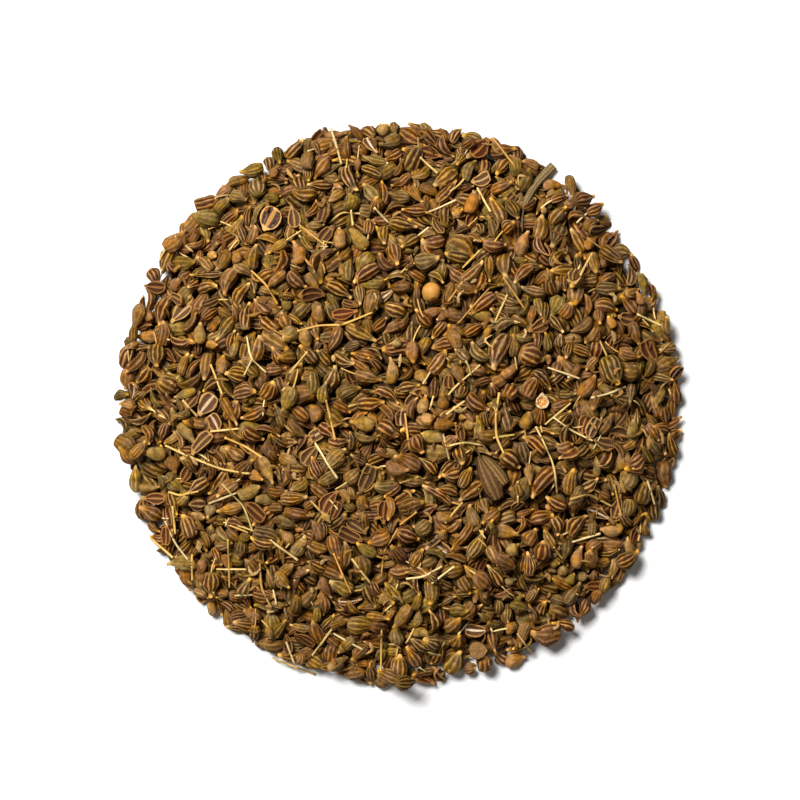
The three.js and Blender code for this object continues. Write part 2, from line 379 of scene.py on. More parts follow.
def fill(count, inner=0.0, looks=80):
    """Lays so many fruits outside the inner radius, always where the heap is lowest."""
    for _ in range(count):
        kind = str(draw.choice(list(KINDS), p=list(KINDS.values())))
        length = np.clip(draw.normal(*FRUIT_LENGTH), LEAST_LENGTH, MOST_LENGTH)
        length *= draw.uniform(*BIT_LENGTH) if kind == "bit" else 1
        width = length * draw.uniform(*SHARES[kind])
        size = length, width, width * draw.uniform(*THICKNESSES[kind])
        spots = draw.uniform(-1, 1, (looks, 2)) * (HEAP_RADIUS - LOOK_INSET)
        reach = np.hypot(spots[:, 0], spots[:, 1])
        spots = spots[(reach > inner) & (reach < HEAP_RADIUS - LAY_INSET)]
        cells = at_cell(spots[:, 1]), at_cell(spots[:, 0])
        want = aim[cells] - mean_height(spots[:, 0], spots[:, 1]) - KEPT_HEIGHT * kept[cells]
        spots = at_cell(spots[np.argsort(-want)[:TRIES]]) * CELL - SPAN
        tries = [settle(kind, x, y, size, draw.uniform(0, 2 * math.pi, TURNS)) for x, y in spots]
        fruit = min(tries, key=lambda tried: tried["score"])
        fruit["tint"] = draw.uniform(0, 1, 4)
        lay(fruit)


fill(LOWER_FRUITS)

# ----------------------------------------------------------
# Round seed: one smooth yellow seed of another plant, a little flattened, with a faint seam and
# an olive side, lying among the fruits above the middle. Places are in pixels of the photo.
# ----------------------------------------------------------
PHOTO_SIZE = 800
PHOTO_MIDDLE = (399.5, 403.5)
PHOTO_WIDTH = 566
PIXEL = 2 * HEAP_RADIUS / PHOTO_WIDTH
ROUND_SEED_PLACE = (430.5, 294.5)
ROUND_SEED_SIZE = (3.35, 3.25, 2.9)
ROUND_SEED_TURN = 232
SINGLE_WOBBLE = 0.05
SINGLE_KEEP = 4.0


def from_photo(spots):
    """Places in the photo, in pixels, as millimetres on the heap."""
    return (np.array(spots, float) - PHOTO_MIDDLE) * [PIXEL, -PIXEL]


def rest_at(kind, spot, size, degrees, upright=False):
    """Settles a single piece at its place in the photo and keeps it from being covered."""
    turn = np.radians([degrees])
    body = settle(kind, *from_photo(spot), size, turn, SINGLE_WOBBLE)
    if upright:
        body["turning"] = attitudes(turn, np.zeros(1), np.zeros(1))[0]
    lay(body, keep=SINGLE_KEEP)
    return body


def put_at(body, points):
    """Turns and moves a piece's points, in millimetres, to where it has settled."""
    return points @ body["turning"].T + body["place"]


def turned(profile, sides, change=None):
    """A skin turned round Z from a profile of (radius, height), closed at both ends.

    change gives another radius and height for a radius, a height and a turn.
    """
    radius, height = np.array(profile, float).T
    turn = np.arange(sides) * 2 * math.pi / sides
    inner = slice(1, -1)
    wide = np.repeat(radius[inner, None], sides, 1)
    tall = np.repeat(height[inner, None], sides, 1)
    if change:
        wide, tall = change(wide, tall, turn[None])
    rings = np.stack([wide * np.cos(turn), wide * np.sin(turn), tall], -1)
    points = np.concatenate([rings.reshape(-1, 3), [[0, 0, height[0]], [0, 0, height[-1]]]])
    first, final = len(points) - 2, len(points) - 1
    count = len(rings)
    tail = (count - 1) * sides
    triangles, marks = [], []
    for side in range(sides):
        after = (side + 1) % sides
        triangles += [[first, after, side], [final, tail + side, tail + after]]
        marks += [[(side, 0), (side + 1, 1), (side, 1)],
                  [(side, count + 1), (side, count), (side + 1, count)]]
        for ring in range(count - 1):
            a, b = ring * sides + side, ring * sides + after
            triangles += [[a, b, a + sides], [b, b + sides, a + sides]]
            marks += [[(side, ring + 1), (side + 1, ring + 1), (side, ring + 2)],
                      [(side + 1, ring + 1), (side + 1, ring + 2), (side, ring + 2)]]
    return points, np.array(triangles), np.array(marks, float) / [sides, count + 1]


def single(name, points, triangles, marks, cells=None):
    """A piece alone: its marks, or cells if they are given, fill the baked picture."""
    bake = marks if cells is None else cells
    layers = {"OFBake": 0.02 + 0.96 * bake.reshape(-1, 2), "Marks": marks.reshape(-1, 2)}
    return make_mesh(name, points, triangles, layers)


round_seed_rest = rest_at("round", ROUND_SEED_PLACE, ROUND_SEED_SIZE, ROUND_SEED_TURN)


def dimple(radius, height, turn):
    """Uneven round the seed, with a blunt point and a faint seam."""
    swing = np.minimum(turn, 2 * math.pi - turn)
    lumps = 1 + 0.02 * np.sin(2 * turn + 1) + 0.012 * np.sin(5 * turn + 3 * height)
    point = 1 + 0.10 * np.exp(-(swing / 0.35) ** 2)
    seam = 1 - 0.03 * np.exp(-((turn - 1.9) / 0.10) ** 2)
    return radius * lumps * point * seam, height


bow = np.linspace(-math.pi / 2, math.pi / 2, 17)
points, triangles, marks = turned(np.stack([0.5 * np.cos(bow), 0.5 * np.sin(bow)], -1), 32, dimple)
round_seed = single("round_seed", put_at(round_seed_rest, points * ROUND_SEED_SIZE), triangles, marks)
recipe = Recipe("yellow seed coat")
around, along = recipe.marks()
fine = recipe.noise(2.2, 3)
olive_side = recipe.ramp(abs(around - 0.5), 0.28, 0.5) * 0.6
colour = recipe.mix(olive_side, shade(198, 138, 62), shade(150, 120, 52))
colour = recipe.scale_colour(colour, recipe.ramp(fine, 0.2, 0.8, 0.8, 1.04))
put_in_heap(round_seed, recipe.finish(colour, 0.45 + 0.15 * fine, fine, 0.05, specular=0.25))

# ----------------------------------------------------------
# Cut stem: a short end of a thick stem standing on end, with orange wood and a pale pith. Its
# white bark is torn and has a point towards the top of the photo.
# ----------------------------------------------------------
CUT_STEM_PLACE = (539, 402)
CUT_STEM_SIZE = (2.5, 2.35, 2.4)
CUT_STEM_TURN = 90
CUT_STEM_PROFILE = [(0, -0.5), (0.40, -0.48), (0.49, -0.3), (0.47, 0.0), (0.50, 0.3), (0.50, 0.42),
                    (0.46, 0.5), (0.38, 0.49), (0.33, 0.42), (0.29, 0.33), (0.22, 0.36), (0.15, 0.33),
                    (0.08, 0.36), (0, 0.38)]

cut_stem_rest = rest_at("stem", CUT_STEM_PLACE, CUT_STEM_SIZE, CUT_STEM_TURN, upright=True)


def torn(radius, height, turn):
    """A rough wall whose upper end is torn, with one barb."""
    swing = np.minimum(turn, 2 * math.pi - turn)
    high = np.clip(height * 3, 0, 1)
    rough = 1 + 0.035 * np.sin(3 * turn + 1) + 0.03 * np.sin(7 * turn) * high
    rough = rough + 0.02 * np.sin(13 * turn + 2) * high
    barb = 0.15 * np.exp(-(swing / 0.26) ** 2) * (radius > 0.4) * (height > 0.2)
    return radius * rough + barb, height + 0.03 * np.sin(5 * turn) * high


points, triangles, marks = turned(CUT_STEM_PROFILE, 30, torn)
cut_stem = single("cut_stem", put_at(cut_stem_rest, points * CUT_STEM_SIZE), triangles, marks)
recipe = Recipe("cut stem end")
_, along = recipe.marks()
fine = recipe.noise(2.8, 3)
bark = recipe.mix(recipe.ramp(fine, 0.3, 0.7), shade(156, 116, 70), shade(228, 202, 156))
wood = recipe.mix(recipe.ramp(fine, 0.3, 0.7), shade(176, 108, 44), shade(214, 156, 82))
inside = recipe.mix(recipe.ramp(along, 0.86, 0.97), wood, shade(224, 184, 128))
colour = recipe.mix(recipe.ramp(along, 0.60, 0.68), bark, inside)
colour = recipe.mix(recipe.ramp(along, 0.30, 0.12), colour, shade(120, 70, 34))
put_in_heap(cut_stem, recipe.finish(colour, 0.7, fine, 0.06))

# ----------------------------------------------------------
# Ringed stub: a short, brown end of a stem with rings round it, near the lower rim. It stands on
# end and is torn like the cut stem.
# ----------------------------------------------------------
STUB_RINGS = 8
STUB_PLACE = (477, 648)
STUB_SIZE = (3.4, 3.3, 2.6)
STUB_PROFILE = [(0, -0.5), (0.38, -0.46), (0.46, -0.2), (0.47, 0.2), (0.45, 0.38), (0.37, 0.46),
                (0.31, 0.42), (0.25, 0.46), (0.17, 0.41), (0.1, 0.45), (0, 0.47)]

stub_rest = rest_at("stub", STUB_PLACE, STUB_SIZE, 0, upright=True)
points, triangles, marks = turned(STUB_PROFILE, 26, torn)
stub = single("ringed_stub", put_at(stub_rest, points * STUB_SIZE), triangles, marks)
recipe = Recipe("ringed stub")
_, along = recipe.marks()
fine = recipe.noise(2.8, 3)
ring = recipe.ramp((along * (2 * math.pi * STUB_RINGS) + fine * 1.5).cosine(), -0.8, 0.8)
colour = recipe.mix(ring, shade(78, 50, 24), shade(172, 130, 78))
put_in_heap(stub, recipe.finish(colour, 0.7, ring * 0.5 + fine * 0.5, 0.08))

# ----------------------------------------------------------
# Open half: a broad, round half fruit with its face up. A pale rim stands round a grey-purple
# trough, and a wide tan band runs along the middle to the point at lower left.
# ----------------------------------------------------------
OPEN_HALF_PLACE = (272.5, 222)
OPEN_HALF_SIZE = (4.7, 4.0, 1.7)
OPEN_HALF_TURN = 240
OPEN_HALF_OUTLINE = [(0, 0), (0.02, 0.36), (0.08, 0.64), (0.2, 0.9), (0.36, 1.0), (0.54, 0.97), (0.7, 0.8),
                     (0.82, 0.5), (0.9, 0.24), (0.96, 0.15), (1, 0)]
OPEN_HALF_ACROSS = 16
OPEN_HALF_DIPS = [0, 0.3, 0.42, 0.72, 0.86, 1], [0.25, 0.35, 1, 0.9, 0.1, 0]
BACK_SIDES = 8
FACE_HEIGHT = 0.3


def loft(outline, section, spans):
    """A closed skin of size 1 along X: an outline of (place, half width) over rings of one section.

    section gives the (y, z) of a ring for its half width and place, and spans the marks at the
    two ends of each of the ring's sides.
    """
    inner = outline[1:-1]
    rings = [section(half, place) for place, half in inner]
    sides = len(spans)
    last = len(inner) - 1
    tail = last * sides
    points = [[place - 0.5, y, z] for (place, _), ring in zip(inner, rings) for y, z in ring]
    points += [[-0.5, *np.mean(rings[0], 0)], [0.5, *np.mean(rings[-1], 0)]]
    start, end = len(points) - 2, len(points) - 1
    triangles, marks, cells = [], [], []

    def face(*corners):
        triangles.append([point for point, *_ in corners])
        for _, ring, side, edge in corners:
            place = inner[ring][0] if 0 <= ring <= last else float(ring > 0)
            marks.append((spans[side][edge], place))
            cells.append(((side + edge) / sides, place))

    for side in range(sides):
        after = (side + 1) % sides
        face((start, -1, side, 0), (after, 0, side, 1), (side, 0, side, 0))
        face((end, last + 1, side, 0), (tail + side, last, side, 0), (tail + after, last, side, 1))
        for ring in range(last):
            near, far = (ring * sides + side, ring, side, 0), (ring * sides + after, ring, side, 1)
            next_near, next_far = (near[0] + sides, ring + 1, side, 0), (far[0] + sides, ring + 1, side, 1)
            face(near, far, next_near)
            face(far, next_far, next_near)
    return {"points": np.array(points), "triangles": np.array(triangles),
            "marks": np.array(marks).reshape(-1, 3, 2), "cells": np.array(cells).reshape(-1, 3, 2)}


open_half_rest = rest_at("open", OPEN_HALF_PLACE, OPEN_HALF_SIZE, OPEN_HALF_TURN)


def face_up(half, belly, hollow, sides, dips):
    """A ring of a half fruit that lies face up: its round back, then the trough across its face.

    belly is the depth of the back, hollow that of the trough, and dips the trough's shape: places
    from the middle to the edge, and how much of its depth it has there.
    """
    turn = math.pi + np.arange(BACK_SIDES + 1) * math.pi / BACK_SIDES
    back = np.stack([0.5 * half * np.cos(turn), belly * half * np.sin(turn) + FACE_HEIGHT], -1)
    across = np.linspace(1, -1, sides + 1)[1:-1]
    dip = hollow * np.interp(np.abs(across), *dips)
    return np.concatenate([back, np.stack([0.5 * half * across, FACE_HEIGHT - dip], -1)])


def face_up_spans(sides):
    """The marks: 2 to 3 all over the back, and 0 to 1 across the face."""
    return [(2, 3)] * BACK_SIDES + [(side / sides, (side + 1) / sides) for side in range(sides)]


def open_section(half, place):
    """The broad half: a deep trough on each side of a band."""
    hollow = 0.5 * half * np.interp(place, [0, 0.08, 0.75, 0.88], [0, 1, 1, 0])
    return face_up(half, 0.8, hollow, OPEN_HALF_ACROSS, OPEN_HALF_DIPS)


shape = loft(OPEN_HALF_OUTLINE, open_section, face_up_spans(OPEN_HALF_ACROSS))
points = put_at(open_half_rest, shape["points"] * OPEN_HALF_SIZE)
open_half = single("open_half", points, shape["triangles"], shape["marks"], shape["cells"])
recipe = Recipe("open half's face")
around, along = recipe.marks()
fine = recipe.noise(2.6, 3)
off_middle = abs(around - 0.5) + (fine - 0.5) * 0.03
band = recipe.ramp(off_middle, 0.13, 0.07)
rim = recipe.ramp(off_middle, 0.39, 0.45) + recipe.ramp(along, 0.14, 0.07) + recipe.ramp(along, 0.76, 0.84)
trough = recipe.mix(recipe.ramp(fine, 0.3, 0.7), shade(64, 40, 28), shade(112, 88, 72))
colour = recipe.mix(band, trough, shade(176, 126, 66))
# Painted shade: a dark line along the trough on its upper-left side only, the side of the trough that the
# light from the upper left doesn't reach.
crease_shade = recipe.ramp(abs(around - 0.68), 0.04, 0.02)
colour = recipe.mix(crease_shade, colour, shade(70, 36, 20))
colour = recipe.mix(recipe.ramp(rim, 0.0, 1.0), colour, shade(206, 158, 94))
put_in_heap(open_half, recipe.finish(colour, 0.6, fine, 0.08))

# ----------------------------------------------------------
# Twig: a flat, fibrous piece of stem, grey-tan with paler streaks along it, lying across the
# fruits at the upper right and ending in a thread of its own fibres.
# ----------------------------------------------------------
TWIG_LINE = [(553, 166), (544, 175), (536, 184), (530, 193), (525, 202), (521, 212)]
TWIG_HALF_WIDTHS = [0.78, 0.80, 0.74, 0.66, 0.60, 0.36]
TWIG_FLATNESS = 0.55
TWIG_RIDGES = [1.0, 0.9, 1.05, 0.8, 1.1, 0.84, 1.0, 0.9] * 2
TWIG_THREAD = [(522, 209), (520.5, 222), (520.5, 234)]
TWIG_FIBRES = 7
STALK_SIDES = 6
THREAD_STEP = 0.45  # between the points of a line that is draped
THREAD_SAG = 0.14  # how far a draped line may cut in before it sinks as told
THREAD_LEAST = 0.3  # least height of a draped line over the floor
THREAD_TIP = 0.05
BAKE_EDGE = 0.04  # of a skin's cell in the baked picture, left clear


def drape(path, sink=0.1, smooth=6):
    """A smooth line of points along a path, lying over the pile like a springy thread."""
    path = np.array(path, float)
    far = np.concatenate([[0], np.cumsum(np.hypot(*np.diff(path, axis=0).T))])
    count = max(5, int(far[-1] / THREAD_STEP) + 2)
    at = np.linspace(0, far[-1], count)
    line = np.stack([np.interp(at, far, path[:, axis]) for axis in (0, 1)], -1)
    for _ in range(4):
        line[1:-1] = (line[:-2] + 2 * line[1:-1] + line[2:]) / 4
    column, row = at_cell(line[:, 0]), at_cell(line[:, 1])
    under = np.max([pile[row + i, column + j] for i in (-1, 0, 1) for j in (-1, 0, 1)], 0)
    height = under.copy()
    for _ in range(smooth):
        wide = np.pad(height, 2, mode="edge")
        level = (wide[:-4] + wide[1:-3] + wide[2:-2] + wide[3:-1] + wide[4:]) / 5
        height = np.maximum(level, under - THREAD_SAG)
    return np.column_stack([line, np.maximum(height - sink, THREAD_LEAST)])


def thread(line, radii, sides=STALK_SIDES, flat=1.0, ridges=1.0):
    """The skin of a round or flattened thread along a line of points, closed at both ends."""
    line, radii = np.array(line, float), np.broadcast_to(radii, len(line))
    ahead = np.gradient(line, axis=0)
    ahead /= np.linalg.norm(ahead, axis=1)[:, None]
    level = np.cross(ahead, [0, 0, 1.0])
    level /= np.maximum(1e-6, np.linalg.norm(level, axis=1))[:, None]
    upward = np.cross(level, ahead)
    turn = np.arange(sides) * 2 * math.pi / sides
    across, tall = ridges * np.cos(turn), flat * ridges * np.sin(turn)
    rings = across[:, None] * level[:, None] + tall[:, None] * upward[:, None]
    rings = line[:, None] + radii[:, None, None] * rings
    rings[..., 2] = np.maximum(rings[..., 2], FLOOR_GAP)
    tips = line[:1] - ahead[:1] * THREAD_TIP, line[-1:] + ahead[-1:] * THREAD_TIP
    points = np.concatenate([rings.reshape(-1, 3), *tips])
    return points, *tube(len(line), sides)


def in_cell(number, across, corners):
    """A skin's marks, moved into its own cell of the baked picture."""
    cell = np.stack([number % across, number // across], -1)
    return (cell + BAKE_EDGE + (1 - 2 * BAKE_EDGE) * corners) / across


def join(name, skins, tints=None):
    """One object from many skins, each with its own tint and its own cell in the baked picture."""
    across = math.ceil(math.sqrt(len(skins)))
    points, triangles, marks, bake, colours, so_far = [], [], [], [], [], 0
    for number, (spots, faces, corners) in enumerate(skins):
        points.append(spots)
        triangles.append(faces + so_far)
        marks.append(corners)
        bake.append(in_cell(number, across, corners))
        tint = draw.uniform(0, 1, 4) if tints is None else tints[number]
        colours.append(np.tile(tint, (len(spots), 1)))
        so_far += len(spots)
    points, triangles, marks, bake, colours = map(np.concatenate, (points, triangles, marks, bake, colours))
    layers = {"OFBake": bake.reshape(-1, 2), "Marks": marks.reshape(-1, 2)}
    return make_mesh(name, points, triangles, layers, colours)


def lay_line(line, radius):
    """Raises the pile along a line that has been laid, and keeps it in sight."""
    for x, y, z in line:
        row, column, reach = at_cell(y), at_cell(x), int(np.ceil(radius / CELL))
        patch = (slice(row - reach, row + reach + 1), slice(column - reach, column + reach + 1))
        near = np.hypot(grid_x[patch] - x, grid_y[patch] - y) <= radius
        pile[patch] = np.where(near, np.maximum(pile[patch], z), pile[patch])
        owner[patch][near] = -2
        kept[patch] = np.maximum(kept[patch], near)


def lay_strap(spots, half_widths, flatness, ridges, sink, reach):
    """The skin of a wide, flat, ridged strap that lies over the pile and raises it out to a reach."""
    line = drape(from_photo(spots), sink=sink, smooth=30)
    given, wanted = np.linspace(0, 1, len(half_widths)), np.linspace(0, 1, len(line))
    widths = np.interp(wanted, given, half_widths)
    line[:, 2] += flatness * widths
    lay_line(line, reach)
    return thread(line, widths, sides=len(ridges), flat=flatness, ridges=np.array(ridges))


twig_skin = lay_strap(TWIG_LINE, TWIG_HALF_WIDTHS, TWIG_FLATNESS, TWIG_RIDGES, sink=0.2, reach=0.7)
line = drape(from_photo(TWIG_THREAD), sink=0.0)
lay_line(line, 0.2)
twig = join("twig", [twig_skin, thread(line, np.linspace(0.22, 0.12, len(line)))])
recipe = Recipe("grey fibrous stem")
around, _ = recipe.marks()
fine = recipe.noise(2.5, 3)
fibres = recipe.ramp((around * (2 * math.pi * TWIG_FIBRES) + fine * 6.0).cosine(), -1.0, 1.0)
colour = recipe.mix(fibres, shade(120, 98, 64), shade(152, 127, 86))
colour = recipe.scale_colour(colour, recipe.ramp(fine, 0.2, 0.8, 0.8, 1.05))
put_in_heap(twig, recipe.finish(colour, 0.7, fibres, 0.12))

# ----------------------------------------------------------
# Husk: an empty, folded fruit wall, about twice as long as a fruit, of two brown-olive lobes
# with furrows along them, still on its thin stalk, right of the middle in the lower half.
# ----------------------------------------------------------
HUSK_LOBES = [
    ([(477, 455), (481, 464), (485, 473), (489, 482), (493, 490), (496, 497)],
     [0.35, 1.15, 1.6, 1.8, 1.75, 1.15]),
    ([(480, 455), (487, 461), (493, 468), (498, 475), (503, 482)], [0.3, 0.9, 1.1, 1.2, 0.9]),
]
HUSK_FLATNESS = 0.34
HUSK_RIDGES = [1.0, 0.86, 1.08, 0.84, 1.12, 0.84, 1.08, 0.88] * 2
HUSK_FURROWS = 9
HUSK_STALK = [(471, 443), (475, 449), (479, 456)]
HUSK_STALK_RADIUS = 0.17

skins = [lay_strap(spots, half_widths, HUSK_FLATNESS, HUSK_RIDGES, sink=0.25, reach=max(half_widths))
         for spots, half_widths in HUSK_LOBES]
skins.append(thread(drape(from_photo(HUSK_STALK), sink=-0.05), HUSK_STALK_RADIUS))
husk = join("husk", skins, [(0.35, 0.3, 0.5, 1), (0.6, 0.8, 0.5, 1), (0.9, 0.2, 0.5, 1)])
recipe = Recipe("brown husk")
around, _ = recipe.marks()
tone, hue, _ = recipe.tints()
fine = recipe.noise(2.2, 4, roughness=0.65)
furrows = recipe.ramp((around * (2 * math.pi * HUSK_FURROWS) + fine * 4.0).cosine(), -1.0, 1.0)
dark = recipe.mix(hue, shade(90, 60, 38), shade(104, 76, 42))
pale = recipe.mix(hue, shade(122, 90, 56), shade(148, 116, 66))
colour = recipe.mix(furrows, dark, pale)
level = recipe.ramp(tone, 0.0, 1.0, 0.8, 1.2) * recipe.ramp(fine, 0.2, 0.8, 0.7, 1.15)
colour = recipe.scale_colour(colour, level)
put_in_heap(husk, recipe.finish(colour, 0.7, furrows * 0.6 + fine * 0.4, 0.25))

# ----------------------------------------------------------
# The upper fruits: first those that stand out, read from the enlarged photo, then as many more
# as bring the heap to its height, and last a ring along the rim. They lie loose.
# ----------------------------------------------------------
UPPER_FRUITS = 650
RIM_FRUITS = 90
RIM_BAND = 5  # how wide the ring is in which these are laid
RIM_LOOKS = 400
NOTED_WOBBLE = 0.08
NOTED_KEEP = 1.0
